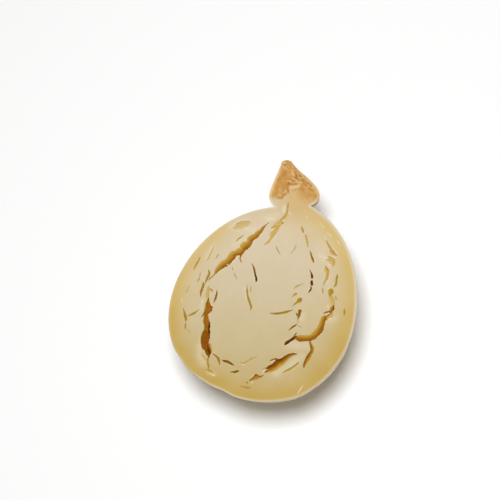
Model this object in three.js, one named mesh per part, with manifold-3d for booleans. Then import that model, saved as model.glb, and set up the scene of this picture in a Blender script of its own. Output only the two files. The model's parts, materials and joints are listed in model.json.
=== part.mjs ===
// Half of a caciocavallo, a pear-shaped cheese of stretched curd with a narrow neck and a small head.
// The cheese is cut lengthwise and lies on its round back, with the cut face up and level.
// Millimetres: +X across the cut face, +Y from the base to the head, +Z up.
// The origin is the middle of the small flat spot on the back that it rests on.

import * as THREE from 'three';
import { ParametricGeometry } from 'three/addons/geometries/ParametricGeometry.js';
import { mergeVertices } from 'three/addons/utils/BufferGeometryUtils.js';
import Module from 'manifold-3d';

const wasm = await Module();
wasm.setup();

// Driving dimensions
const BODY_WIDTH = 151;
const BODY_LENGTH = 157.6;
const NECK_WIDTH = 28.6;
const HEAD_WIDTH = 40.8;
const HEAD_LENGTH = 39.2;
const TIP_WIDTH = 7.8;
const FLAT_DEPTH = 2.5;

// Places along the cheese, and how far the neck, head and tip stand right of the body's middle
const BASE_Y = -76.6;
const BASE_X = 3.8;
const LEFT_FLANK_Y = -7;
const RIGHT_FLANK_Y = 6.5;
const NECK_Y = BASE_Y + BODY_LENGTH;
const NECK_X = 25.2;
const CHEEK_Y = NECK_Y + 8.8;
const CHEEK_X = 26.3;
const CROWN_Y = NECK_Y + HEAD_LENGTH;
const TIP_Y = CROWN_Y - 1.2;
const TIP_X = 20.3;
const CUT_HEIGHT = BODY_WIDTH / 2 - FLAT_DEPTH;

// Fineness of the surface: steps across the flat face, round the back, and along a tear
const FACE_STEPS = 4;
const BACK_STEPS = 34;
const RING_STEPS = FACE_STEPS + BACK_STEPS;
const TEAR_STEP = 4;

// A tear is lens-shaped: it opens fast from its ends, and its cutter rises a little above the cut face
const TEAR_FULLNESS = 0.6;
const CUTTER_RISE = 1;

const PASTE_COLOUR = 0xd8c68f;
const PASTE_ROUGHNESS = 0.55;

// Curve between two points, with each end's handle given as an offset from that end
function bend(start, startHandle, endHandle, end) {
  const first = new THREE.Vector2(...startHandle).add(start);
  const second = new THREE.Vector2(...endHandle).add(end);
  return new THREE.CubicBezierCurve(start, first, second, end);
}

// Points that the left and right sides of the cut face pass through, from the base to the crown
const base = new THREE.Vector2(BASE_X, BASE_Y);
const leftFlank = new THREE.Vector2(-BODY_WIDTH / 2, LEFT_FLANK_Y);
const rightFlank = new THREE.Vector2(BODY_WIDTH / 2, RIGHT_FLANK_Y);
const leftNeck = new THREE.Vector2(NECK_X - NECK_WIDTH / 2, NECK_Y);
const rightNeck = new THREE.Vector2(NECK_X + NECK_WIDTH / 2, NECK_Y);
const leftCheek = new THREE.Vector2(CHEEK_X - HEAD_WIDTH / 2, CHEEK_Y);
const rightCheek = new THREE.Vector2(CHEEK_X + HEAD_WIDTH / 2, CHEEK_Y);
const leftTip = new THREE.Vector2(TIP_X - TIP_WIDTH / 2, TIP_Y);
const rightTip = new THREE.Vector2(TIP_X + TIP_WIDTH / 2, TIP_Y);
const crown = new THREE.Vector2(TIP_X, CROWN_Y);

// Matching stretches of the two sides: belly, shoulder, neck, head and torn tip
const STRETCHES = [
  {
    left: bend(base, [-38, 0], [0, -38], leftFlank),
    right: bend(base, [41, 0], [0, -50], rightFlank),
    steps: 16,
  },
  {
    left: bend(leftFlank, [0, 44], [-45, 0], leftNeck),
    right: bend(rightFlank, [0, 38], [19, -12], rightNeck),
    steps: 20,
  },
  {
    left: bend(leftNeck, [-2.6, 3], [0, -3], leftCheek),
    right: bend(rightNeck, [4, 1], [0, -4], rightCheek),
    steps: 5,
  },
  {
    left: bend(leftCheek, [0, 7.5], [-3.4, -10.5], leftTip),
    right: bend(rightCheek, [0, 9], [7.8, -12.7], rightTip),
    steps: 9,
  },
  {
    left: bend(leftTip, [1, 0.7], [-1, 0], crown),
    right: bend(rightTip, [-1, 0.7], [1, 0], crown),
    steps: 2,
  },
];

// Tears that opened in the paste as the layers of curd dried, each along a path on the cut face.
// The lean is how far the bottom of the tear is shifted from its mouth.
const TEARS = [
  { path: [[5.5, 68.5], [-5, 58.5], [-15.5, 47.5], [-26, 39], [-43, 21]], width: 4.8, depth: 9, lean: [3, -3] },
  { path: [[-43, 18.5], [-43, 2], [-44, -12], [-45, -28], [-43, -40.5]], width: 5.8, depth: 10, lean: [3, 0] },
  { path: [[55, 12], [55.5, 0], [49, -15], [41, -26], [26, -26]], width: 4.4, depth: 8, lean: [2, -2] },
  { path: [[27.5, -24.5], [21.5, -29.5], [17.5, -32]], width: 2.6, depth: 6, lean: [0, 0] },
  { path: [[37.5, -29], [39, -37], [33, -51]], width: 2.9, depth: 6, lean: [-2, 0] },
  { path: [[27.5, -39], [18, -43], [2, -54]], width: 5.8, depth: 7, lean: [-3, 3] },
  { path: [[1, -55], [-4, -57], [-10.5, -60.5]], width: 3, depth: 4, lean: [-1, 1] },
  { path: [[-8, 35], [-5.5, 26], [-4, 20]], width: 1.8, depth: 5, lean: [0, 0] },
  { path: [[34, 57.5], [36.5, 50], [37, 45]], width: 2, depth: 2, lean: [0, 0] },
  { path: [[38.5, 44], [41.5, 32.5]], width: 1.8, depth: 2.5, lean: [0, 0] },
  { path: [[38, 28.5], [40.3, 20], [37, 9.5]], width: 2.2, depth: 5, lean: [0, 0] },
  { path: [[21.5, 85.5], [20.5, 76], [15, 70]], width: 1.8, depth: 2, lean: [0, 0] },
  { path: [[-46, 19], [-44, 26], [-42.5, 31]], width: 2.2, depth: 3, lean: [1, 0] },
  { path: [[-49.5, 9], [-48.7, 15], [-47, 21.5]], width: 2.1, depth: 3, lean: [1, 0] },
  { path: [[-64, -1], [-62, -8], [-61.5, -17.5]], width: 1.9, depth: 3, lean: [0, 0] },
  { path: [[50.5, 31], [52, 25], [49.5, 14]], width: 3.6, depth: 3, lean: [1, 0] },
  { path: [[4.5, -7], [14, -7], [26, -4.5]], width: 1.7, depth: 3, lean: [0, 0] },
  { path: [[31.5, 5], [29, 3], [24, -1.5]], width: 3.4, depth: 4, lean: [0, 0] },
  { path: [[31.3, -2.5], [29.8, -7], [28.5, -12.5]], width: 2.9, depth: 5, lean: [0, 0] },
  { path: [[-32, -42.5], [-21.5, -47.5]], width: 2, depth: 3, lean: [0, 0] },
];

// Places where a thin flake of paste came away with the knife: wide and shallow
const FLAKES = [
  { path: [[17, 70.5], [10, 61.5], [1.5, 49.5]], width: 5, depth: 1.5, lean: [0, 0] },
  { path: [[-22, 63.5], [-15, 66.8], [-8.5, 69]], width: 5.5, depth: 1.2, lean: [0, 0] },
  { path: [[51.5, 51.5], [55.5, 44], [60, 38.5]], width: 3.4, depth: 2, lean: [0, 0] },
  { path: [[52, 37], [56.5, 35], [56.5, 29.5]], width: 4.5, depth: 1.6, lean: [0, 0] },
];

// The two sides' points at each step along the cheese
function sections() {
  const rows = [{ left: base, right: base }];
  for (const { left, right, steps } of STRETCHES) {
    for (let step = 1; step <= steps; step++) {
      rows.push({ left: left.getPoint(step / steps), right: right.getPoint(step / steps) });
    }
  }
  return rows;
}

// Closed half-moon surface: each section runs back across the flat face, then round the back as a half circle
function cheeseGeometry() {
  const rows = sections();
  const lastRow = rows.length - 1;
  const surface = (u, v, target) => {
    const { left, right } = rows[Math.round(u * lastRow)];
    const step = Math.round(v * RING_STEPS) % RING_STEPS;
    if (step < FACE_STEPS) {
      const across = right.clone().lerp(left, step / FACE_STEPS);
      target.set(across.x, across.y, CUT_HEIGHT);
      return;
    }
    const angle = (Math.PI * (step - FACE_STEPS)) / BACK_STEPS;
    const middle = left.clone().lerp(right, 0.5);
    const half = right.clone().sub(left).multiplyScalar(0.5);
    const depth = half.length() * Math.sin(angle);
    target.set(
      middle.x - half.x * Math.cos(angle),
      middle.y - half.y * Math.cos(angle),
      CUT_HEIGHT - depth,
    );
  };
  return new ParametricGeometry(surface, lastRow, RING_STEPS);
}

// Wedge that cuts one tear: a five-sided section carried along the path, closing to an edge at both ends
function tearGeometry({ path, width, depth, lean }) {
  const curve = new THREE.CatmullRomCurve3(path.map(([x, y]) => new THREE.Vector3(x, y, CUT_HEIGHT)));
  const stations = Math.ceil(curve.getLength() / TEAR_STEP) + 2;
  const sides = [
    { across: -0.5, rise: CUTTER_RISE },
    { across: 0.5, rise: CUTTER_RISE },
    { across: 0.5, rise: 0 },
    { across: 0, rise: -depth },
    { across: -0.5, rise: 0 },
  ];
  const surface = (u, v, target) => {
    const along = Math.round(u * stations) / stations;
    const side = sides[Math.round(v * sides.length) % sides.length];
    const opening = Math.pow(4 * along * (1 - along), TEAR_FULLNESS);
    const shift = side.rise < 0 ? opening : 0;
    const tangent = curve.getTangentAt(along);
    const reach = side.across * width * opening;
    curve.getPointAt(along, target);
    target.x += lean[0] * shift - tangent.y * reach;
    target.y += lean[1] * shift + tangent.x * reach;
    target.z += side.rise < 0 ? side.rise * opening : side.rise;
  };
  return new ParametricGeometry(surface, stations, sides.length);
}

// Solid from a closed surface, without the triangles that shrink to nothing at its ends
function solidFrom(geometry) {
  geometry.deleteAttribute('normal');
  geometry.deleteAttribute('uv');
  const merged = mergeVertices(geometry);
  const corners = merged.index.array;
  const kept = [];
  for (let i = 0; i < corners.length; i += 3) {
    const [a, b, c] = corners.slice(i, i + 3);
    if (a !== b && b !== c && c !== a) {
      kept.push(a, b, c);
    }
  }
  const mesh = new wasm.Mesh({
    numProp: 3,
    vertProperties: new Float32Array(merged.attributes.position.array),
    triVerts: new Uint32Array(kept),
  });
  return new wasm.Manifold(mesh);
}

// Block below the surface that the cheese stands on, which leaves the flat spot
function floorGeometry() {
  const block = new THREE.BoxGeometry(BODY_WIDTH, BODY_WIDTH, BODY_WIDTH);
  block.translate(0, 0, -BODY_WIDTH / 2);
  return block;
}

function geometryFrom(solid) {
  const { vertProperties, triVerts } = solid.getMesh();
  const geometry = new THREE.BufferGeometry();
  geometry.setAttribute('position', new THREE.BufferAttribute(vertProperties, 3));
  geometry.setIndex(new THREE.BufferAttribute(triVerts, 1));
  geometry.computeVertexNormals();
  return geometry;
}

function cheeseHalf() {
  let solid = solidFrom(cheeseGeometry()).subtract(solidFrom(floorGeometry()));
  for (const opening of [...TEARS, ...FLAKES]) {
    solid = solid.subtract(solidFrom(tearGeometry(opening)));
  }
  const material = new THREE.MeshStandardMaterial({
    color: PASTE_COLOUR,
    roughness: PASTE_ROUGHNESS,
    metalness: 0,
  });
  const mesh = new THREE.Mesh(geometryFrom(solid), material);
  mesh.name = 'cheese_half';
  return mesh;
}

const caciocavallo = new THREE.Group();
caciocavallo.add(cheeseHalf());

export default caciocavallo;
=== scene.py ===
import json
import math
import bpy
import numpy as np
from mathutils import Matrix, Vector

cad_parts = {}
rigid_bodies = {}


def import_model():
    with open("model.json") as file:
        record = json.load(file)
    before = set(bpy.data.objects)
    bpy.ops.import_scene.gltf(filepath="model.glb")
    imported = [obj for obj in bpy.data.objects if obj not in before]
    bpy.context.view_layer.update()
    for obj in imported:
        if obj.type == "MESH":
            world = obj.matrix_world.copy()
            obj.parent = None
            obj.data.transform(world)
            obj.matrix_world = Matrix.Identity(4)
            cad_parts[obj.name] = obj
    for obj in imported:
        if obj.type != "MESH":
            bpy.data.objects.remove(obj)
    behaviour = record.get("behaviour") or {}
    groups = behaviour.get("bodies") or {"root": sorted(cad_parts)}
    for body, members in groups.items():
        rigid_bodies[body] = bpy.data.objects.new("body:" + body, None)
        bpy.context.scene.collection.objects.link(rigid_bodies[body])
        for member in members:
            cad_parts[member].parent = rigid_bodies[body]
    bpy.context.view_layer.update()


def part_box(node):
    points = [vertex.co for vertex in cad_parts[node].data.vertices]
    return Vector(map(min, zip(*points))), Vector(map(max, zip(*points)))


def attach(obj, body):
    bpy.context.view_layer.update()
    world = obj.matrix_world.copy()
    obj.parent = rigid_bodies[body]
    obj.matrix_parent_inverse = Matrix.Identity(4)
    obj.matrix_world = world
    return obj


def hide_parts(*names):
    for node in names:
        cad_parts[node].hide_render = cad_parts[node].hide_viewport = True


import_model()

# The half cheese: a lump of stretched curd, moulded by hand into a pear with a small head above a tied
# neck. It dried in its own thin rind and was cut lengthwise with one stroke. The cut face lies level and
# the rind is the back. Sizes are in millimetres, and the mesh is turned to metres as it is made.
MM = 0.001
CHEESE_NODE = "cheese_half"
low, high = (np.array(corner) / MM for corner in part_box(CHEESE_NODE))
CUT_HEIGHT = high[2]
BASE = np.array([3.8, low[1]])
LEFT_FLANK = np.array([low[0], -7.0])
RIGHT_FLANK = np.array([high[0], 6.5])
LEFT_NECK = np.array([10.9, 81.0])
RIGHT_NECK = np.array([39.5, 81.0])
LEFT_CHEEK = np.array([5.9, 89.8])
RIGHT_CHEEK = np.array([46.7, 89.8])
LEFT_TIP = np.array([16.4, 119.0])
RIGHT_TIP = np.array([24.2, 119.0])
CROWN = np.array([20.3, high[1]])

# Steps along each stretch of the outline, across the cut face, round the rim's corner and round the back.
# They crowd towards the rim, whose rounding is at most a share of half the width.
BELLY_STEPS = 72
SHOULDER_STEPS = 84
NECK_STEPS = 26
HEAD_STEPS = 56
TIP_STEPS = 8
FACE_STEPS = 150
CORNER_STEPS = 4
BACK_STEPS = 76
RIM_CROWDING = 0.62
RIM_ROUNDING = 0.5
ROUNDING_SHARE = 0.2


def bend(start, leave, arrive, end, steps):
    """Points along a cubic curve from start to end: the share t of the way weighs the two ends and the two
    handles that set off from them."""
    t = np.linspace(0, 1, steps + 1)[1:, None]
    first = start + np.array(leave)
    second = end + np.array(arrive)
    return (1 - t) ** 3 * start + 3 * (1 - t) ** 2 * t * first + 3 * (1 - t) * t**2 * second + t**3 * end


left_side = np.vstack([
    bend(BASE, (-38, 0), (0, -38), LEFT_FLANK, BELLY_STEPS),
    bend(LEFT_FLANK, (0, 44), (-45, 0), LEFT_NECK, SHOULDER_STEPS),
    bend(LEFT_NECK, (-2.6, 3), (0, -3), LEFT_CHEEK, NECK_STEPS),
    bend(LEFT_CHEEK, (0, 7.5), (-3.4, -10.5), LEFT_TIP, HEAD_STEPS),
    bend(LEFT_TIP, (1, 0.7), (-1, 0), CROWN, TIP_STEPS)[:-1],
])
right_side = np.vstack([
    bend(BASE, (41, 0), (0, -50), RIGHT_FLANK, BELLY_STEPS),
    bend(RIGHT_FLANK, (0, 38), (19, -12), RIGHT_NECK, SHOULDER_STEPS),
    bend(RIGHT_NECK, (4, 1), (0, -4), RIGHT_CHEEK, NECK_STEPS),
    bend(RIGHT_CHEEK, (0, 9), (7.8, -12.7), RIGHT_TIP, HEAD_STEPS),
    bend(RIGHT_TIP, (-1, 0.7), (1, 0), CROWN, TIP_STEPS)[:-1],
])

# The outline isn't quite smooth: it bulges and dips a little where the curd was pressed. Each spot gives a
# place on that side, how far the outline moves out there, and over what reach.
LEFT_SWELLS = [((-57.5, -49.5), 1.2, 9.0), ((-33.0, -67.0), -1.2, 7.0), ((-68.5, -31.0), 0.9, 12.0)]
RIGHT_SWELLS = [((28.0, -69.5), 1.0, 13.0), ((35.0, 103.5), 0.4, 7.0)]


def swollen(side, out, swells):
    """One side of the outline moved out at each spot by its rise, falling off as a bell over its reach."""
    for place, rise, reach in swells:
        away = np.gradient(side, axis=0)[:, ::-1] * (-out, out)
        away /= np.linalg.norm(away, axis=1)[:, None]
        nearby = np.exp(-(((side - place) ** 2).sum(1)) / reach**2)
        side = side + rise * nearby[:, None] * away
    return side


left_side = swollen(left_side, 1, LEFT_SWELLS)
right_side = swollen(right_side, -1, RIGHT_SWELLS)


# Waves are drawn with lengths between these shares of the one asked for
WAVE_SPREAD = (0.75, 1.4)


def waves(points, length, seed, terms=14):
    """Smooth unevenness of about -1 to 1: a sum of sine waves of about that length, in seeded random
    directions."""
    draw = np.random.default_rng(seed)
    directions = draw.normal(size=(terms, points.shape[-1]))
    directions /= np.linalg.norm(directions, axis=1)[:, None]
    rates = 2 * np.pi / (length * draw.uniform(*WAVE_SPREAD, terms))
    phases = draw.uniform(0, 2 * np.pi, terms)
    return np.sin(points @ (directions * rates[:, None]).T + phases).sum(-1) / math.sqrt(terms)


def layered(points, layers):
    """Sum of waves, where each layer gives its height, its length and its seed."""
    return sum(height * waves(points, length, seed) for height, length, seed in layers)


def smooth_step(value, start, end):
    """0 before start, 1 after end, and an S curve between them."""
    t = np.clip((value - start) / (end - start), 0, 1)
    return t * t * (3 - 2 * t)


def distance_to_path(points, path):
    """Distance in the cut plane from each point to a chain of straight pieces."""
    path = np.asarray(path, float)
    starts = path[:-1]
    steps = path[1:] - starts
    lengths = (steps**2).sum(1)
    nearest = np.full(len(points), np.inf)
    for start, step, length in zip(starts, steps, lengths):
        share = np.clip(((points - start) @ step) / length, 0, 1)
        nearest = np.minimum(nearest, np.hypot(*(points - start - share[:, None] * step).T))
    return nearest


def bell(offset, reach):
    """1 where the offset is 0, falling off on both sides as a bell over that reach."""
    return np.exp(-((offset / reach) ** 2))


def bell_along(points, path, reach):
    """1 on a path in the cut plane, falling off on both sides as a bell over that reach."""
    return bell(distance_to_path(points, path), reach)


# Folds of the torn head, seen on its cut face: paths of raised flaps and of the grooves beside them, with
# half their widths, and the places of small pits, with their strength and spread
HEAD_RIDGES = [
    ([(24.8, 111.6), (25.4, 109.2), (26.4, 106.6)], 0.55),
    ([(25.3, 109.4), (26.1, 107.2)], 0.95),
    ([(25, 105.4), (26.1, 103.8), (27.5, 102.7), (29, 102.3)], 0.6),
    ([(20.6, 102.4), (22.4, 102.6), (24, 101.5), (26.8, 100.8), (29.4, 101.2), (31.2, 100.6)], 0.6),
    ([(30.6, 101.4), (32, 100.2), (31.6, 98.9), (29.6, 98.4)], 0.75),
    ([(23.6, 97.2), (26.5, 97.3), (30, 97.5)], 1.4),
    ([(17.8, 92.4), (19.4, 93.6), (19.8, 95)], 0.6),
    ([(13.9, 91.4), (15.2, 90.7)], 0.55),
    ([(33.4, 104.6), (34.6, 103.6)], 0.6),
    ([(36, 101.8), (37.4, 101.4)], 0.55),
    ([(37.6, 97.6), (39.2, 97.2)], 0.6),
    ([(40.8, 96.6), (42.2, 95.2)], 0.6),
    ([(18.2, 117.6), (19.4, 118)], 0.7),
    ([(17, 114.8), (18.8, 113.4)], 0.5),
]
HEAD_GROOVES = [
    ([(26.6, 109.6), (27.8, 107), (28.8, 104.6)], 0.5),
    ([(25.6, 105.9), (26.8, 105)], 0.45),
    ([(24, 102.6), (26.2, 102), (27.6, 101.9)], 0.45),
    ([(21.4, 100.6), (22.8, 100), (24.2, 99.3), (26.4, 99.6), (28.2, 99.8)], 0.55),
    ([(20.3, 95.6), (21.7, 94.4), (21.2, 93)], 0.55),
    ([(19.6, 91.8), (18.6, 91.2)], 0.5),
    ([(17.4, 90.6), (16.2, 89.8)], 0.5),
    ([(12.8, 88.9), (14.6, 88.5), (16.4, 88.7)], 0.9),
    ([(36.8, 100.8), (38.6, 99.2), (40.2, 97.4)], 0.5),
    ([(35.2, 99.2), (36.2, 98.8)], 0.6),
    ([(30.6, 106.8), (31.8, 106)], 0.6),
    ([(33, 103.2), (34.2, 102)], 0.5),
    ([(32.8, 99.8), (32.4, 97.6), (30.8, 95.9)], 0.55),
    ([(18.6, 116.2), (20.2, 116)], 0.5),
]
HEAD_PITS = [(25.4, 94.4), (27.1, 94.6), (28.2, 95.3), (29.7, 95.4), (30.3, 102.4), (31.5, 106.8),
             (23.6, 99.2), (38, 95.2), (40.4, 94.2), (41.4, 92.8), (43, 94.6), (22.4, 117.2), (24.4, 113.8)]
PIT_STRENGTH = 0.8
PIT_SPREAD = 0.3
# How far the folds are shaken and in waves of what length, and how they break up: their usual strength, its
# change, in waves of what length, and the least strength
FOLD_SHAKE = (0.22, 2.4)
RIDGE_BREAKS = (0.9, 0.3, 2.2, 0.5)
GROOVE_BREAKS = (0.75, 0.4, 1.8, 0.2)
# Fine creases: the edge where the head crumbles and how far in, where along the head its tip crumbles and the
# creases begin, how strong they are at the tip and at least, and their layers of waves
CRUMBLY_EDGE = [(27, 112), (31, 107), (36, 102.6), (41, 97.6), (43.6, 94.4)]
CRUMBLY_REACH = 3.4
CRUMBLY_TIP = (108, 117)
CREASES_BEGIN = (90, 97)
TIP_CREASES = 0.8
LEAST_CREASES = 0.3
CREASE_LAYERS = [(0.5, 2.4, 21), (0.7, 1.35, 22)]
# How far ridges and creases stand up and grooves sink in, and the head's slow swell with its length and where
# it begins
RIDGE_RISE = 0.6
GROOVE_SINK = 0.7
CREASE_RISE = 0.2
HEAD_SWELL = 0.16
HEAD_SWELL_LENGTH = 6.0
HEAD_SWELL_BEGINS = (88, 96)


def shaken(points, reach, length, seed):
    """The points moved by up to about that reach in waves, so that what is drawn with them is ragged."""
    return points + reach * np.stack([waves(points, length, seed), waves(points, length, seed + 1)], -1)


def broken_up(points, usual, change, length, least, seed):
    """How strong a fold is from place to place: its usual strength changed by waves, from the least to 1."""
    return np.clip(usual + change * waves(points, length, seed), least, 1)


def head_folds(points):
    """How strongly each point lies on a ridge and in a groove or pit, from 0 to 1: a bell across each path,
    made ragged and broken up by small waves, as torn curd is."""
    ragged = shaken(points, *FOLD_SHAKE, 41)
    ridge = np.zeros(len(points))
    groove = np.zeros(len(points))
    for path, width in HEAD_RIDGES:
        ridge = np.maximum(ridge, bell_along(ragged, path, width))
    for path, width in HEAD_GROOVES:
        groove = np.maximum(groove, bell_along(ragged, path, width))
    for pit in HEAD_PITS:
        groove = np.maximum(groove, PIT_STRENGTH * np.exp(-(((ragged - pit) ** 2).sum(1)) / PIT_SPREAD))
    return ridge * broken_up(points, *RIDGE_BREAKS, 43), groove * broken_up(points, *GROOVE_BREAKS, 44)


def head_crumple(points):
    """Fine creases of the torn head, from about -1 to 1: waves that are strong along its right edge and at
    its tip, faint elsewhere, and gone in the smooth neck below."""
    crumbly = bell_along(points, CRUMBLY_EDGE, CRUMBLY_REACH)
    tip = TIP_CREASES * smooth_step(points[:, 1], *CRUMBLY_TIP)
    strength = np.maximum(np.maximum(crumbly, tip), LEAST_CREASES)
    return strength * layered(points, CREASE_LAYERS) * smooth_step(points[:, 1], *CREASES_BEGIN)


def head_relief(points):
    """Height of the torn head's face: ridges and creases stand up, grooves sink in, and all of it swells
    slowly."""
    ridge, groove = head_folds(points)
    swell = HEAD_SWELL * waves(points, HEAD_SWELL_LENGTH, 23) * smooth_step(points[:, 1], *HEAD_SWELL_BEGINS)
    return RIDGE_RISE * ridge - GROOVE_SINK * groove + CREASE_RISE * head_crumple(points) + swell


def cheese_rings():
    """Rings of points from the base to the crown. Each ring runs across the flat face from right to left,
    round the rim's small rounding, and under the back as a half circle as wide as the face is there."""
    middle = (left_side + right_side) / 2
    half = (right_side - left_side) / 2
    reach = np.linalg.norm(half, axis=1)[:, None]
    rounding = np.minimum(RIM_ROUNDING, ROUNDING_SHARE * reach)
    step = np.linspace(0, 1, FACE_STEPS + 1)[None]
    crowded = step - RIM_CROWDING * np.sin(2 * np.pi * step) / (2 * np.pi)
    face_across = (1 - 2 * crowded) * (1 - rounding / reach)
    turn = np.linspace(0, np.pi / 2, CORNER_STEPS + 1)[None, 1:]
    corner_across = 1 - (1 - np.sin(turn)) * rounding / reach
    corner_depth = rounding * (1 - np.cos(turn))
    start = np.arcsin(rounding / reach)
    angle = start + (np.pi - 2 * start) * np.linspace(0, 1, BACK_STEPS + 1)[None, 1:-1]
    across = np.hstack([face_across, -corner_across, -np.cos(angle), corner_across[:, ::-1]])
    depth = np.hstack([0 * face_across, corner_depth, reach * np.sin(angle), corner_depth[:, ::-1]])
    flat = middle[:, None] + half[:, None] * across[..., None]
    return np.dstack([flat, CUT_HEIGHT - depth])


# Slow unevenness and faint strands of the rind, with their lengths, and how the strands' grid is stretched
# round the back and along it
RIND_RISE = 0.1
RIND_LENGTH = 11
FIBRE_RISE = 0.07
FIBRE_LENGTH = 2.2
FIBRE_ROUND = 40
FIBRE_ALONG = 0.06
# Pleats at the neck and at the tip: how close they lie, how far they wander and in waves of what length, and
# their height and where they are. The crease round the neck: how deep it is and how far it reaches.
PLEAT_RATE = 30
PLEAT_WANDER = 2
PLEAT_LENGTH = 25
NECK_PLEATS = 0.35
NECK_PLEATS_REACH = 9
TIP_PLEATS = 0.3
TIP_PLEATS_BEGIN = (96, 116)
NECK_CREASE = 0.7
NECK_CREASE_REACH = 1.3
# Brown lumps of rind gathered beside the neck, on its right: their place, reach, height and unevenness, and
# from where round the back
LUMPS_ALONG = 82.5
LUMPS_REACH = 4.5
LUMPS_RISE = 0.7
LUMPS_UNEVEN = 0.6
LUMPS_LENGTH = 4.5
LUMPS_SIDE = (2.2, 2.7)


def rind_relief(points, around, along):
    """How far the rind stands out: slow waves, faint strands from neck to base, wandering sine pleats at
    the neck and the tip, a crease round the neck that falls off as a bell, and lumps beside it."""
    grid = np.stack([np.broadcast_to(around[None] * FIBRE_ROUND, along.shape), along * FIBRE_ALONG], -1)
    pleats = np.sin(around[None] * PLEAT_RATE + PLEAT_WANDER * waves(grid, PLEAT_LENGTH, 31))
    near_neck = bell(along - LEFT_NECK[1], NECK_PLEATS_REACH)
    near_tip = smooth_step(along, *TIP_PLEATS_BEGIN)
    crease = bell(along - LEFT_NECK[1], NECK_CREASE_REACH)
    height = RIND_RISE * waves(points, RIND_LENGTH, 33) + FIBRE_RISE * waves(grid, FIBRE_LENGTH, 34)
    height += NECK_PLEATS * pleats * near_neck + TIP_PLEATS * pleats * near_tip - NECK_CREASE * crease
    lumpy = bell(along - LUMPS_ALONG, LUMPS_REACH) * smooth_step(around, *LUMPS_SIDE)[None]
    return height + lumpy * LUMPS_RISE * (1 + LUMPS_UNEVEN * waves(points, LUMPS_LENGTH, 35))


def read(items, name, kind, width=1):
    """One setting of all of a mesh's points, edges, faces or faces' corners, as an array."""
    values = np.empty(len(items) * width, kind)
    items.foreach_get(name, values)
    return values


def store(mesh, name, values, where="POINT"):
    """Keeps one value for each of the mesh's points or faces' corners, for a finish to read."""
    mesh.attributes.new(name, "FLOAT", where).data.foreach_set("value", values.astype(np.float32))


def solid_object(name, points, faces, parts, tones_and_shade):
    """A mesh object from points in millimetres, its faces, each face's place in the list of finishes, and
    each point's tone, which on a tear's wall is partly painted shade. Tones are kept on the faces' corners,
    to stay with their own surface where solids are cut."""
    mesh = bpy.data.meshes.new(name)
    mesh.from_pydata((points * MM).tolist(), [], faces)
    mesh.polygons.foreach_set("material_index", np.asarray(parts, np.int32))
    store(mesh, "tone_and_shade", tones_and_shade[read(mesh.loops, "vertex_index", np.int32)], "CORNER")
    thing = bpy.data.objects.new(name, mesh)
    bpy.context.scene.collection.objects.link(thing)
    return thing


def ring_faces(rings, ring):
    """Four-sided faces between neighbouring rings of a closed tube, turned outwards."""
    first = np.arange(rings - 1)[:, None] * ring
    spot = np.arange(ring)[None]
    beside = (spot + 1) % ring
    corners = [first + spot, first + ring + spot, first + ring + beside, first + beside]
    return np.stack(np.broadcast_arrays(*corners), -1).reshape(-1, 4)


# Layers of the cut face's ripples: their heights, lengths and seeds
RIPPLE_LAYERS = [(0.14, 30, 11), (0.04, 9, 12)]


def face_ripple(points):
    """Height of the cut face's unevenness, left by the knife: two layers of slow waves."""
    return layered(points, RIPPLE_LAYERS)


# How far from the rim the relief of the face and of the rind is full, and how much sooner at the lumps
RIM_FADE = 3
RIND_FADE = 6
LUMPS_FADE = 3.5
# Wide dents in the back: their height, their length, and how far below the rim they are full
DENT_RISE = 0.5
DENT_LENGTH = 48
DENT_FADE = 26
# Below the rim the back draws in a little at the lower right: how far, how deep below the rim it does so
# fully, where along the half that ends, and the direction of that side
TUCK = 0.5
TUCK_DEPTH = 9
TUCK_END = (60, 80)
TUCK_TURN = math.radians(-60)
TUCK_WAY = np.array([math.cos(TUCK_TURN), math.sin(TUCK_TURN)])
# How softly the back bends to the flat spot that it rests on
FLAT_SOFTNESS = 0.4
# Places of the finishes in the half's list of them
PASTE, RIND, TEAR, CRACK, SHRED = range(5)
rings = cheese_rings()
row_count, ring_count = rings.shape[:2]
face_count = FACE_STEPS + 1

on_face = rings[:, :face_count].reshape(-1, 3)
rim_fade = np.ones(len(on_face))
for side in (left_side, right_side):
    from_side = distance_to_path(on_face[:, :2], np.vstack([BASE, side, CROWN]))
    rim_fade *= np.minimum(1, from_side / RIM_FADE)
headward = smooth_step(on_face[:, 1], LEFT_NECK[1], LEFT_CHEEK[1])
on_face[:, 2] += rim_fade * (face_ripple(on_face[:, :2]) + headward * head_relief(on_face[:, :2]))
rings[:, :face_count] = on_face.reshape(row_count, face_count, 3)

back = rings[:, face_count:]
round_step = np.linspace(0, np.pi, back.shape[1])
depth_below = CUT_HEIGHT - back[..., 2]
outward = np.stack([-np.cos(round_step), 0 * round_step, -np.sin(round_step)], -1)
full_depth = RIND_FADE - LUMPS_FADE * bell(back[..., 1] - LUMPS_ALONG, LUMPS_REACH)
relief = rind_relief(back, round_step, back[..., 1]) * smooth_step(depth_below, 0, full_depth)
relief += DENT_RISE * waves(back, DENT_LENGTH, 32) * smooth_step(depth_below, 0, DENT_FADE)
back += relief[..., None] * outward
tuck = np.maximum(0, back[..., :2] @ TUCK_WAY / np.linalg.norm(back[..., :2], axis=-1))
tuck *= TUCK * smooth_step(depth_below, 0, TUCK_DEPTH) * (1 - smooth_step(back[..., 1], *TUCK_END))
back[..., :2] -= tuck[..., None] * TUCK_WAY
back[..., 2] = (back[..., 2] + np.sqrt(back[..., 2] ** 2 + FLAT_SOFTNESS**2)) / 2
rings[:, face_count:] = back

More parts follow.
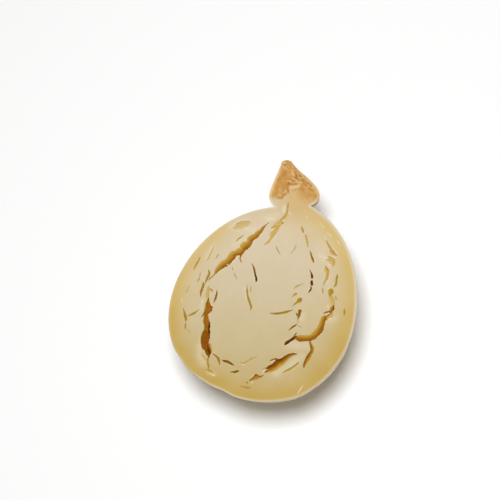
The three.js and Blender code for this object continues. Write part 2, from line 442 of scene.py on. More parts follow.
cheese_points = np.vstack([rings.reshape(-1, 3), [*BASE, CUT_HEIGHT], [*CROWN, CUT_HEIGHT]])
base_pole = row_count * ring_count
crown_pole = base_pole + 1
spots = np.arange(ring_count)
beside = (spots + 1) % ring_count
last_ring = (row_count - 1) * ring_count
base_fan = np.stack([np.full(ring_count, base_pole), spots, beside], -1)
crown_fan = np.stack([last_ring + spots, np.full(ring_count, crown_pole), last_ring + beside], -1)
quads = ring_faces(row_count, ring_count)
is_paste = (spots < face_count + CORNER_STEPS - 1) | (spots >= ring_count - CORNER_STEPS)
spot_part = np.where(is_paste, PASTE, RIND)
cheese_faces = quads.tolist() + base_fan.tolist() + crown_fan.tolist()
cheese_parts = np.concatenate([np.tile(spot_part, row_count - 1), spot_part, spot_part])
cheese = solid_object("cheese_half_dressed", cheese_points, cheese_faces, cheese_parts,
                      np.zeros(len(cheese_points)))

# Tears in the paste: splits between the layers of stretched curd that opened as the cheese dried, and shallow
# places where a flake came away with the knife. Each is a trough cut out of the half along a path.

# Steps along a path, how far a cutter rises above the face and goes past a tear's sides and floor, and the
# depth from which a section gets twice as many points
TEAR_STEP = 0.6
TEAR_RISE = 1.0
TEAR_END = 0.1
FINE_DEPTH = 2.5
# Ragged lips and walls: the heights and lengths of their waves, how far apart the two walls lie in those
# waves, the roughness by width and by opening, how much of it is gone at the floor, and how much of the
# width it may fill
RAGGED_WAVES = [(0.6, 6), (0.5, 2.2), (0.5, 1.3)]
WALLS_APART = 40
ROUGH_BY_WIDTH = 0.04
ROUGH_BY_OPENING = 0.13
FLOOR_CALM = 0.6
MOST_FILLED = 0.35
# Strands on the walls: their width, what share of the way along the tear counts in their waves, how soon
# below the lip they are full, and how far they change the wall's place and tone
STRAND = 1.5
STRAND_STRETCH = 0.2
STRAND_ONSET = 3
STRAND_RISE = 0.05
STRAND_TONE = 0.05
# A section gives, from lip to lip, how far across and how deep its points lie and how dark they are, as
# shares of half the width, of the depth, and of the step from the lips' tone to the floor's. That darkness is
# partly the torn curd's amber and partly painted shade, deepest on the floor and under a scoop's sharp lip.
# The first two points stand above the face. A split has slanting walls and a slit steep ones. A scoop rolls
# in gently and ends at a sharp lip on one side, and a trench is a wider one with a flat floor.
SPLIT = [(-1, None, 0), (1, None, 0), (1, 0, 0), (0.78, 0.34, 0.3), (0.5, 0.7, 0.6), (0.2, 0.95, 1),
         (-0.2, 0.95, 1), (-0.5, 0.7, 0.6), (-0.78, 0.34, 0.3), (-1, 0, 0)]
SLIT = [(-1, None, 0), (1, None, 0), (1, 0, 0), (0.93, 0.3, 0.4), (0.82, 0.6, 0.8), (0.62, 0.86, 1),
        (0.3, 0.98, 1), (-0.3, 0.98, 1), (-0.62, 0.86, 1), (-0.82, 0.6, 0.8), (-0.93, 0.3, 0.4), (-1, 0, 0)]
LEFT_SCOOP = [(-1.06, None, 0), (1, None, 0), (1, 0, 0.85), (1.03, 0.3, 0.55), (1.07, 0.65, 0.6),
              (1, 0.92, 0.9), (0.76, 1, 1), (0.5, 0.92, 0.93), (0.22, 0.74, 0.76), (-0.12, 0.48, 0.52),
              (-0.46, 0.25, 0.29), (-0.8, 0.09, 0.1), (-1.06, 0, 0)]
RIGHT_SCOOP = [(-1, None, 0), (1.06, None, 0), (1.06, 0, 0), (0.8, 0.08, 0.05), (0.45, 0.24, 0.2),
               (0.1, 0.47, 0.45), (-0.2, 0.75, 0.75), (-0.44, 0.96, 1), (-0.6, 1, 1), (-0.76, 0.8, 1),
               (-0.89, 0.42, 0.9), (-1, 0, 0.75)]
TRENCH = [(-1.02, None, 0), (1, None, 0), (1, 0, 0.85), (1.02, 0.3, 0.5), (1.03, 0.65, 0.55),
          (0.98, 0.92, 0.9), (0.7, 1, 1), (0.3, 1, 1), (0.05, 0.95, 0.9), (-0.28, 0.78, 0.65),
          (-0.58, 0.5, 0.4), (-0.82, 0.22, 0.15), (-1.02, 0, 0)]
# A tear's path gives x, y and its width at each point. Then come the depth where it is widest, its section,
# and the tones at its lips and on its floor, from 0, as pale as the paste, to 1, a dark red brown; the dark
# tones of deep, narrow tears are partly painted shade.
TEARS = [
    # The long tear at the upper left, with its spur
    ([(5.8, 68.3, 0.3), (3, 66.2, 0.8), (0.8, 64.1, 2.1), (-0.5, 62, 2.8), (-2.7, 60.2, 3.7),
      (-4.9, 57.9, 4.6), (-7.6, 56.3, 4.7), (-9.5, 54.9, 5.1), (-9.9, 52.5, 4.6), (-12, 50.7, 6.1),
      (-14.7, 49, 6.4), (-15.7, 46.6, 4.8), (-17.8, 45, 6.1), (-20.6, 44.1, 4.5), (-22.7, 43.1, 5.3),
      (-24.8, 40.5, 5.9), (-27, 37.7, 5.6), (-29.4, 36.2, 5.5), (-31.6, 34.9, 5.1), (-34.4, 32.5, 4.2),
      (-36.5, 30.3, 2.9), (-38.4, 27.2, 0.7), (-39.9, 25.6, 0.7), (-42, 23.9, 0.7),
      (-43.3, 21.8, 0)], 4.4, LEFT_SCOOP, 0.24, 0.81),
    ([(-16.7, 42.8, 1.3), (-17.2, 40.9, 1), (-17.7, 39.4, 0.7), (-17.1, 37.4, 0.7),
      (-16.1, 35.6, 0)], 0.9, SPLIT, 0.43, 0.59),
    # The wide tear at the left with its spur and tails, the flake at its top and the slit beside it
    ([(-42.8, 8.4, 0.5), (-43.3, 5.6, 1.9), (-43.5, 3.5, 3.5), (-43.2, 1.5, 4.8), (-42.6, 0.1, 6),
      (-43.1, -2, 5.7), (-44.2, -3.6, 4.9), (-45, -5.1, 3.9), (-45, -7.2, 3.6), (-45, -9.2, 3.9),
      (-44.6, -11.5, 5.1), (-43.9, -14, 5), (-44.1, -16.4, 4.5), (-44.9, -18.6, 3.4), (-45.8, -20.6, 1.4),
      (-46.2, -21.6, 0.2)], 4.6, TRENCH, 0.46, 0.76),
    ([(-42.3, -13.4, 0.2), (-42.7, -15.2, 2), (-43.6, -17, 3.9), (-44.1, -18.8, 5.4), (-44.9, -21.6, 6.4),
      (-45.6, -24.4, 6.8), (-45.8, -26.8, 6.8), (-45.9, -29.3, 5.8), (-45.2, -31.7, 5), (-44.1, -33.8, 4.4),
      (-43.2, -35.8, 4.3), (-42.6, -37.6, 3.3), (-42.5, -39.4, 1.4),
      (-42.5, -40.5, 0.2)], 5.4, TRENCH, 0.6, 0.86),
    ([(-45.8, -3.2, 1.3), (-47, -4.9, 1.1), (-48.9, -7.8, 0)], 1.6, SPLIT, 0.45, 0.6),
    ([(-42.5, -39.8, 0.7), (-43.4, -42.2, 1.1), (-43.2, -44.6, 1.1), (-42.8, -47, 1.1),
      (-42.6, -49.7, 0.3)], 0.8, SPLIT, 0.36, 0.5),
    ([(-49, -36.3, 0), (-47.2, -38.9, 0.8), (-45.2, -41.6, 0.8),
      (-43.5, -43.2, 0.3)], 0.4, SPLIT, 0.12, 0.2),
    ([(-44.9, -49.6, 0), (-42.3, -50.6, 1), (-40.3, -51.7, 1), (-38.5, -53.2, 0)], 0.6, SPLIT, 0.28, 0.4),
    ([(-43, 17.8, 0.5), (-43.4, 14.6, 2.3), (-43.9, 11.3, 2.8), (-43.8, 8.8, 2.3),
      (-42.9, 7, 0.5)], 0.9, SPLIT, 0.06, 0.26),
    ([(-43, 15.4, 0), (-41.5, 15.2, 1.2), (-40.3, 14.2, 1.3), (-40.2, 12.5, 0)], 0.6, SPLIT, 0.26, 0.4),
    ([(-36.5, 14.6, 0), (-36.2, 11.9, 1), (-37, 8.6, 1.4), (-37.8, 6.2, 1.1),
      (-38.9, 3.6, 0)], 1, SPLIT, 0.56, 0.78),
    # The curved tear at the right: the pit and shallow run at its top, its wide bend, tails and side flakes
    ([(55.3, 12.3, 0.8), (55.2, 11.2, 3.2), (55, 9.7, 4.3), (54.7, 8, 3.4), (54.5, 6.3, 2.2),
      (54.3, 4.8, 0.8)], 1.2, SPLIT, 0.32, 0.57),
    ([(54.4, 8.2, 2.4), (54.2, 5.8, 2.9), (55.2, 3, 4.1), (56.2, 0.3, 3.7), (56.1, -1.9, 2.6),
      (56, -3.1, 1.6)], 1.3, LEFT_SCOOP, 0.05, 0.26),
    ([(56.6, -1, 1.3), (56.2, -2.7, 2.6), (55.6, -4.3, 3.4), (54.8, -5.9, 2.9), (54.2, -7.3, 1.3),
      (52.8, -8.9, 0.9), (51.1, -10.1, 0.7)], 2.8, LEFT_SCOOP, 0.3, 0.84),
    ([(50.7, -9.8, 1.3), (50, -10.5, 2.9), (49.3, -11.8, 4.1), (48.3, -13.5, 3.8), (47.6, -16, 4.2),
      (46.7, -18.3, 4.7), (45.6, -20.6, 5.2), (44, -22.7, 5.4), (41.9, -24.7, 5.1), (40.1, -26.2, 5.2),
      (37.6, -27, 4.8), (34.3, -27.2, 4.6), (31.1, -27.1, 5.1), (28.4, -26.6, 3.9), (26.6, -25.9, 1.8),
      (26, -25.5, 0.3)], 4.2, LEFT_SCOOP, 0.28, 0.78),
    ([(54.8, -6.1, 1), (52.1, -6.6, 1.1), (50.1, -7.2, 1), (48.6, -7.8, 0)], 0.9, SPLIT, 0.52, 0.72),
    ([(27.6, -25.3, 0.7), (25.4, -26.6, 2), (23.4, -28, 2), (21, -29.5, 2.3), (19, -30.8, 2.1),
      (17.9, -32.3, 0.3)], 1.8, SPLIT, 0.76, 1.0),
    ([(27.6, -22.1, 0), (26.6, -23.9, 0.9), (25, -25.8, 1)], 0.7, SPLIT, 0.5, 0.64),
    ([(38.3, -29.4, 0.7), (38.2, -30.9, 1.4), (38.9, -32.8, 2), (39.7, -35.1, 2.6), (39.5, -37.5, 2.7),
      (38, -40.2, 2.9), (36.3, -42.9, 3.1), (34.7, -45.7, 2.8), (33.5, -48, 2),
      (33, -50.6, 0.5)], 3, RIGHT_SCOOP, 0.32, 0.58),
    ([(54.6, -8, 0.7), (53.4, -10.2, 2.1), (51.7, -12.1, 1.8),
      (50.6, -13.5, 0.5)], 0.9, RIGHT_SCOOP, 0.1, 0.3),
    ([(55.5, -6.3, 0.5), (55.5, -8.7, 1.6), (55.2, -11.4, 0.3)], 0.6, SPLIT, 0.14, 0.24),
    ([(57.8, 6.5, 0), (58.9, 4.4, 1), (59.5, 2.6, 0)], 0.6, SPLIT, 0.18, 0.28),
    # The slanting tear near the base, with its spurs and its lower end
    ([(27.8, -39.7, 0.2), (25.1, -39.6, 1.7), (22.7, -40.3, 2.6), (20.3, -41.6, 3.6), (18.1, -43.3, 4.2),
      (15.6, -45.3, 5.2), (13.2, -46.1, 6.2), (11.6, -47.5, 6.2), (9.6, -49.3, 5.5), (7, -50.6, 5.4),
      (5, -51.3, 4.6), (3.5, -52.6, 2.1), (2, -53.6, 0.3)], 4.6, RIGHT_SCOOP, 0.27, 0.76),
    ([(11.8, -42.7, 1), (9.4, -43.1, 0.9), (7.3, -43.8, 0.8), (5.9, -44.5, 0)], 1.2, SPLIT, 0.45, 0.62),
    ([(3.9, -49.5, 1), (1.9, -50.2, 0.7), (-0.6, -51.3, 0)], 0.6, SPLIT, 0.28, 0.39),
    ([(-10.3, -59.8, 0.3), (-8, -58.5, 1.8), (-6, -57.5, 2.9), (-4.2, -56.6, 4.1), (-2.9, -56.8, 2.6),
      (-1.1, -56.7, 1.1), (1.6, -55.5, 0)], 3.5, LEFT_SCOOP, 0.3, 0.58),
    # The upright slit in the middle
    ([(-8.6, 35.6, 0), (-7, 32.5, 0.9), (-6, 29.6, 1.1), (-5.4, 25.5, 1.2),
      (-4.9, 22.5, 0)], 0.7, SPLIT, 0.6, 0.84),
    ([(-6, 29, 0), (-5.4, 26, 1), (-4.7, 23, 1.6), (-4.5, 21.2, 1.6),
      (-4.8, 19.6, 0.2)], 1.5, SLIT, 0.86, 1.0),
    # The broken line of splits below the neck, on the right
    ([(32.1, 64.7, 0), (32.6, 62.3, 1.2), (33.2, 60.2, 1.5), (33.2, 58.4, 0.2)], 0.9, SPLIT, 0.26, 0.4),
    ([(34.9, 57.8, 0), (35.6, 55.2, 1.8), (36.3, 51.8, 1.5), (36.9, 48.9, 1.2),
      (36.8, 46, 0)], 1.1, LEFT_SCOOP, 0.06, 0.26),
    ([(38.6, 44.3, 0), (39.4, 41, 1.1), (40.2, 38.1, 1.1), (41, 36, 1.6),
      (41.7, 33.5, 0.2)], 0.9, SPLIT, 0.5, 0.68),
    ([(38, 28.6, 0), (38.9, 26.7, 0.6), (39.7, 25, 1.1), (40.1, 23, 1.7), (40.1, 20.8, 1.3),
      (40.2, 20.5, 0.2)], 1.1, SPLIT, 0.64, 0.96),
    ([(40, 19.6, 0.3), (39.9, 18.7, 1.7), (39.9, 17.3, 2.1), (40, 15.3, 1.5),
      (40.1, 14.8, 0.2)], 1.4, SLIT, 0.94, 1.0),
    ([(38.9, 15, 0.2), (39.3, 13, 1.1), (38.4, 11.4, 1.2), (36.7, 9.2, 0)], 1, SPLIT, 0.7, 0.98),
    # The split down the neck and the flake torn from below it
    ([(21.7, 85.2, 0), (21.2, 81.9, 1), (20.8, 79, 1.1), (20.2, 76.1, 1.5), (19.4, 73.7, 1.9),
      (17.9, 71.7, 2.1), (16.2, 70.2, 2), (14.3, 69.1, 0.5)], 1.2, SPLIT, 0.13, 0.25),
    ([(16.8, 69.5, 0.8), (14.5, 68, 3.7), (12.2, 65.6, 5.7), (11.4, 63.4, 4.6), (10.3, 61.2, 4.1),
      (9, 59, 4.3), (7.9, 56.7, 3), (6.8, 54.4, 1.7), (4.9, 52.1, 2.1),
      (1.5, 49.8, 0.2)], 1.3, LEFT_SCOOP, 0.12, 0.28),
    ([(11.9, 65.3, 1.6), (9.5, 64.4, 1.8), (7.4, 63.4, 0.3)], 0.9, SPLIT, 0.15, 0.24),
    ([(15.2, 67.6, 1), (16.5, 67.3, 1.6), (17.6, 67.8, 0.3)], 1, SPLIT, 0.4, 0.52),
    # The oval flake on the left shoulder
    ([(-23.4, 64.4, 0.4), (-21, 65.4, 2.6), (-19.2, 66.3, 4.6), (-16.8, 67, 5.2), (-14.2, 67.7, 5.2),
      (-11.8, 68.4, 4.3), (-10.2, 68.9, 2.8), (-9, 69.2, 0.4)], 0.8, LEFT_SCOOP, 0.0, 0.16),
    # Short splits between the upper left tear and the rim
    ([(-14, 59.3, 0), (-16.8, 57.4, 0.9), (-19.4, 55.3, 0.9), (-21.1, 53.7, 0)], 0.6, SPLIT, 0.22, 0.34),
    ([(-50.1, 42.2, 0.2), (-51.7, 38.5, 1.2), (-53.8, 34.7, 1.1), (-55.5, 31.1, 0)], 0.7, SPLIT, 0.34, 0.46),
    ([(-38.4, 50.9, 0), (-40.1, 47.4, 0.8), (-41.7, 44.2, 0.7), (-43.7, 40.1, 0.7),
      (-44.9, 38.5, 0)], 0.4, SPLIT, 0.08, 0.17),
    ([(-34.8, 44.2, 0), (-35.9, 42.3, 0.9), (-37.5, 39.5, 0)], 0.5, SPLIT, 0.18, 0.28),
    ([(-43.3, 31.3, 0.2), (-42.6, 28.5, 1.6), (-43.6, 25.3, 1.7), (-45.2, 22, 1.1),
      (-46.2, 19.1, 0)], 0.8, SPLIT, 0.42, 0.56),
    ([(-47.6, 21.5, 0.2), (-47.3, 18.8, 1.8), (-48.4, 15.6, 1.6), (-49.4, 12.3, 1.3),
      (-49.4, 9.1, 0.2)], 0.8, SPLIT, 0.46, 0.62),
    ([(-50.2, 25.5, 0), (-51.1, 23.5, 1.1), (-52.1, 21.1, 0.2)], 0.7, SPLIT, 0.18, 0.28),
    ([(-49.4, 29.8, 0), (-50, 27.1, 0.7), (-50.3, 25.7, 0)], 0.4, SPLIT, 0.18, 0.28),
    ([(-58.5, 19.2, 0), (-59.9, 16.2, 0.8), (-61.5, 12.3, 0)], 0.4, SPLIT, 0.08, 0.16),
    # The forked split near the left rim
    ([(-63.5, 0.9, 0), (-62.3, -4, 1.5), (-61.2, -8.1, 2), (-61.4, -11, 0.2)], 0.8, SPLIT, 0.44, 0.58),
    ([(-61.4, -11.4, 0), (-61.5, -14.2, 1.2), (-61.6, -17.2, 0)], 0.8, SPLIT, 0.36, 0.5),
    ([(-60.1, -6.1, 0), (-57.6, -5.4, 1.1), (-54.3, -3.9, 1.2), (-50.4, -0.8, 0)], 0.8, SPLIT, 0.39, 0.55),
    ([(-60, -16.4, 0), (-59, -18.7, 0.8), (-57.6, -21, 0)], 0.4, SPLIT, 0.12, 0.2),
    # Flakes and pits near the right shoulder
    ([(51.6, 51.8, 0.2), (52.9, 49.1, 1.3), (54.1, 46.6, 2.1), (55.2, 44.7, 1.9), (55.6, 43.2, 2.9),
      (56.6, 41.6, 3.4), (58, 40.3, 2.3), (60.5, 38.5, 0.2)], 1.6, LEFT_SCOOP, 0.05, 0.42),
    ([(53.1, 38.6, 0.7), (54.9, 36.3, 3.6), (56.2, 34.6, 4.6), (56.8, 32.6, 3.7),
      (57.1, 29.7, 0.5)], 1.2, LEFT_SCOOP, 0.04, 0.33),
    ([(51, 35.5, 0), (53.2, 35.7, 1.5), (55.3, 35.1, 1.2)], 0.6, SPLIT, 0.1, 0.2),
    ([(50.8, 30.9, 0.2), (51.5, 28.3, 3.4), (52.3, 25.8, 2.8), (52.2, 22.9, 2.4), (51.4, 20.1, 2),
      (50, 17.7, 1.3), (49, 14.5, 0.2)], 1.5, LEFT_SCOOP, 0.05, 0.42),
    ([(48.2, 13.6, 0), (48.6, 10.5, 1.1), (48.3, 7.9, 0)], 0.6, SPLIT, 0.26, 0.39),
    ([(60.3, 23.7, 0.2), (59.9, 21, 1.7), (59.5, 18.6, 1.3), (59.2, 16.2, 1.2), (58.4, 14.3, 1),
      (56.8, 13.1, 0)], 0.8, SPLIT, 0.38, 0.54),
    # A nick in the left rim
    ([(-70.5, 26, 0.9), (-68.4, 25.2, 0.7), (-66.8, 24.6, 0)], 0.6, SPLIT, 0.42, 0.6),
    # Flake at the right rim
    ([(65.3, -4.4, 0.3), (65.5, -6.7, 1.7), (65.2, -10.3, 0)], 1, SPLIT, 0.34, 0.46),
    # Small holes and splits right of the middle
    ([(5.6, -5.9, 0), (10.4, -6.5, 1.4), (16.7, -6.1, 1.6), (20.7, -5.1, 1.4),
      (25.3, -3.9, 0)], 0.9, SPLIT, 0.42, 0.57),
    ([(25, 12.9, 0), (27.2, 14.5, 0.8), (29.6, 15.6, 0.9), (34, 17.1, 0)], 0.5, SPLIT, 0.2, 0.3),
    ([(23.6, 6.2, 0), (25.6, 7.9, 1), (27.2, 8.8, 1.7), (28.4, 9.2, 0.2)], 0.9, SPLIT, 0.28, 0.42),
    ([(23.8, -1.5, 0), (25.9, 0.4, 0.9), (28.3, 2.1, 1.8), (29.9, 3.6, 3.8), (31.3, 4.6, 2.1),
      (31.9, 5.1, 0.3)], 1.3, SPLIT, 0.4, 0.54),
    ([(30.8, -4, 1.3), (30.2, -5.1, 2.4), (29.9, -6.7, 1.9), (29.5, -8.3, 2.1), (29, -10, 1.1),
      (28.4, -11.9, 0.2)], 1.5, SPLIT, 0.54, 0.7),
    ([(27, -6.1, 0), (27.9, -7.9, 1.2), (28.8, -9.5, 1.1)], 0.9, SPLIT, 0.4, 0.56),
    ([(28.5, -11.5, 0), (28.5, -13.5, 0.7), (28.2, -15.5, 0)], 0.4, SPLIT, 0.08, 0.15),
    ([(20.8, -20.6, 0), (23.4, -18.7, 1.1), (25.8, -17, 1.1), (27.8, -15.6, 0.2)], 0.9, SPLIT, 0.56, 0.72),
    ([(27.8, -16.3, 0), (29.8, -17.5, 0.7), (31.9, -18.8, 0)], 0.4, SPLIT, 0.18, 0.28),
    # Short splits near the base
    ([(15.8, -54.4, 0), (18.9, -52.8, 1.1), (22, -51.3, 1.3), (25.2, -49.2, 1.3), (27.6, -47.3, 1.1),
      (29.4, -45.7, 0)], 0.8, SPLIT, 0.3, 0.44),
    ([(-39.3, -37.5, 0.7), (-37.6, -38.5, 1), (-35.8, -40.2, 1.3), (-34.6, -42.1, 1.8), (-34.1, -44.1, 1.3),
      (-33.9, -46.5, 0.2)], 1, SPLIT, 0.44, 0.6),
    ([(-32.1, -42.5, 0.2), (-29.5, -43.6, 1.5), (-26.7, -44.4, 1.9), (-24.7, -45.8, 1.5),
      (-21.9, -47.3, 0)], 1.1, SPLIT, 0.62, 0.82),
    ([(-25.4, -52.6, 0.2), (-23.5, -52.4, 1.1), (-21.5, -52.3, 1.6), (-19.6, -51.9, 1.3),
      (-18, -52, 0)], 1.1, SPLIT, 0.57, 0.77),
    ([(-17.6, -44.3, 0), (-15, -45.7, 0.9), (-12, -44.2, 0.8), (-8, -42.1, 0.9),
      (-4, -40.8, 0)], 0.5, SPLIT, 0.2, 0.3),
    ([(-17.4, -63.7, 0), (-14.4, -64.7, 0.9), (-12, -65.2, 1.3), (-8.9, -65.5, 0.2)], 1, SPLIT, 0.2, 0.36),
    ([(-12.9, -61.1, 0), (-12, -61.1, 1.2), (-11, -61.1, 0)], 0.7, SPLIT, 0.4, 0.55),
    # Faint splits in the middle
    ([(-24.1, 33.2, 0), (-23.8, 31.1, 0.7), (-23.4, 29.4, 0)], 0.4, SPLIT, 0.12, 0.2),
    ([(-22.5, 28.4, 0), (-21.5, 25.7, 0.8), (-20.1, 21.9, 0)], 0.5, SPLIT, 0.2, 0.3),
    ([(11.7, 49, 0), (12, 46.7, 0.8), (13.3, 44.2, 0.7), (15.2, 41.1, 0)], 0.5, SPLIT, 0.2, 0.3),
    ([(27.6, 50, 0), (27.1, 47.3, 0.8), (25.4, 44.4, 0.7), (22.8, 41.8, 0)], 0.4, SPLIT, 0.06, 0.13),
    ([(-12.2, 17.5, 0), (-11.9, 13.4, 1.1), (-11.6, 9.4, 1.2), (-10.8, 6.1, 1.4), (-9.6, 2.4, 1.5),
      (-8.7, -0.5, 1.5), (-9.3, -3.7, 0)], 1, SPLIT, 0.36, 0.5),
    ([(-9.1, 16.9, 0), (-9, 14.2, 0.8), (-9.3, 10.9, 0)], 0.5, SPLIT, 0.14, 0.24),
    # Dark slits along one wall of the wide tear at the left
    ([(-43.2, -9.9, 0.4), (-43.1, -12.6, 1.3), (-43, -16, 1.7), (-42.9, -20, 1.7), (-42.8, -24, 1.5),
      (-42.7, -28, 0.5)], 7, SLIT, 0.9, 1.0),
    ([(-43.4, -25.5, 0.4), (-43.9, -29.5, 1.6), (-43.2, -33.8, 2.3), (-42.3, -36.2, 2),
      (-42.6, -38, 0.4)], 6.4, SLIT, 0.78, 0.88),
    # The lit slope on its right, near its lower end
    ([(-42.4, -28.4, 0.4), (-41.9, -30.6, 2.4), (-41.5, -32.2, 2.3), (-41.1, -33.9, 2.2), (-40.8, -35.5, 1.5),
      (-40.5, -37, 0.4)], 1.8, RIGHT_SCOOP, 0.2, 0.56),
]
# Fine steps in each piece of a path and the fewest stations on one, and over how many stations to each side,
# but no more than one in so many of them all, its direction is smoothed
PIECE_STEPS = 24
FEWEST_STATIONS = 8
SMOOTHED_OVER = 4
SMOOTHED_PART = 5


def spline(points, step):
    """Evenly stepped points on the smooth curve through the given ones, each piece a cubic fixed by its
    neighbours, and how far along each lies."""
    points = np.asarray(points, float)
    ends = np.vstack([2 * points[0] - points[1], points, 2 * points[-1] - points[-2]])
    t = np.linspace(0, 1, PIECE_STEPS, endpoint=False)[:, None]
    before, start, end, after = (ends[i:len(ends) - 3 + i, None] for i in range(4))
    bent = start + t * ((end - before) + t * ((2 * before - 5 * start + 4 * end - after)
                                              + t * (3 * (start - end) + after - before))) / 2
    fine = np.vstack([bent.reshape(-1, points.shape[1]), points[-1]])
    run = np.concatenate([[0], np.cumsum(np.hypot(*np.diff(fine[:, :2], axis=0).T))])
    stations = np.linspace(0, run[-1], max(FEWEST_STATIONS, int(run[-1] / step)))
    return np.stack([np.interp(stations, run, column) for column in fine.T], -1), stations


def left_of(line):
    """Unit directions across a path, to its left, taken from the path smoothed so that they don't cross."""
    span = max(1, min(SMOOTHED_OVER, len(line) // SMOOTHED_PART))
    ahead = np.arange(len(line))[:, None] + np.arange(-span, span + 1)[None]
    tangent = np.gradient(line, axis=0)[np.clip(ahead, 0, len(line) - 1)].mean(1)
    tangent /= np.linalg.norm(tangent, axis=1)[:, None]
    return np.stack([-tangent[:, 1], tangent[:, 0]], -1)


def closed_tube(points):
    """Flat list of points and faces of a tube given as rings, with both of its ends closed."""
    count, ring = points.shape[:2]
    caps = [list(range(ring)), list(range(count * ring - 1, (count - 1) * ring - 1, -1))]
    return points.reshape(-1, 3), ring_faces(count, ring).tolist() + caps


def finer(section):
    """The section with one more row between each two that lie below the face."""
    rows = np.array(section, float)
    place = np.arange(len(rows) - 2)
    halves = np.linspace(0, place[-1], 2 * place[-1] + 1)
    return np.vstack([rows[:2], np.stack([np.interp(halves, place, column) for column in rows[2:].T], -1)])


def tear_cutter(path, depth, section, lip_tone, floor_tone, seed):
    """What one tear takes away, and its tones, which darken towards its floor and sharp lip partly as painted
    shade: its section carried along the path, with ragged lips and walls. It is as wide as the path says, its
    depth falls off towards the ends with the square root of its width, and its walls show the strands of the
    curd as low ridges that run along it."""
    line, run = spline(path, TEAR_STEP)
    width = np.maximum(line[:, 2:], 0)
    opening = np.sqrt(width / width.max())
    across, share, tone_and_shade_step = (finer(section) if depth > FINE_DEPTH else np.array(section, float)).T[:, None]
    above = np.isnan(share)
    share = np.where(above, 0, share)
    grid = np.stack(np.broadcast_arrays(run[:, None], np.sign(across) * WALLS_APART + share * depth), -1)
    rough = layered(grid, [(*wave, seed + number) for number, wave in enumerate(RAGGED_WAVES)])
    rough *= (ROUGH_BY_WIDTH * width + ROUGH_BY_OPENING * opening) * (1 - FLOOR_CALM * share)
    reach = across * (width / 2 + TEAR_END + np.maximum(rough, -MOST_FILLED * width))
    flat = line[:, None, :2] + left_of(line[:, :2])[:, None] * reach[..., None]
    sideways = np.diff(across[0], prepend=1) * width.max() / 2
    downward = np.diff(share[0], prepend=0) * depth
    round_wall = np.cumsum(np.hypot(sideways, downward))
    strand_grid = np.stack(np.broadcast_arrays(STRAND_STRETCH * run[:, None], round_wall[None]), -1)
    strands = waves(strand_grid, STRAND, seed + len(RAGGED_WAVES))
    strands *= np.minimum(1, STRAND_ONSET * share) * opening
    sunk = share * (depth * opening + TEAR_END)
    height = np.where(above, TEAR_RISE, STRAND_RISE * strands * depth**0.5 - sunk)
    # The tones darken towards the floor and the sharp lip, partly as painted shade
    tones_and_shade = lip_tone + (floor_tone - lip_tone) * tone_and_shade_step * opening + STRAND_TONE * strands
    points, faces = closed_tube(np.dstack([flat, CUT_HEIGHT + face_ripple(flat) + height]))
    return points, faces, tones_and_shade.ravel(), CRACK if section in (SPLIT, SLIT) else TEAR


# Pale shreds of curd that stand up along the lips of the tears and where the knife dragged. Each is a low
# ridge joined to the half, along a path whose points give x, y and the shred's width there.

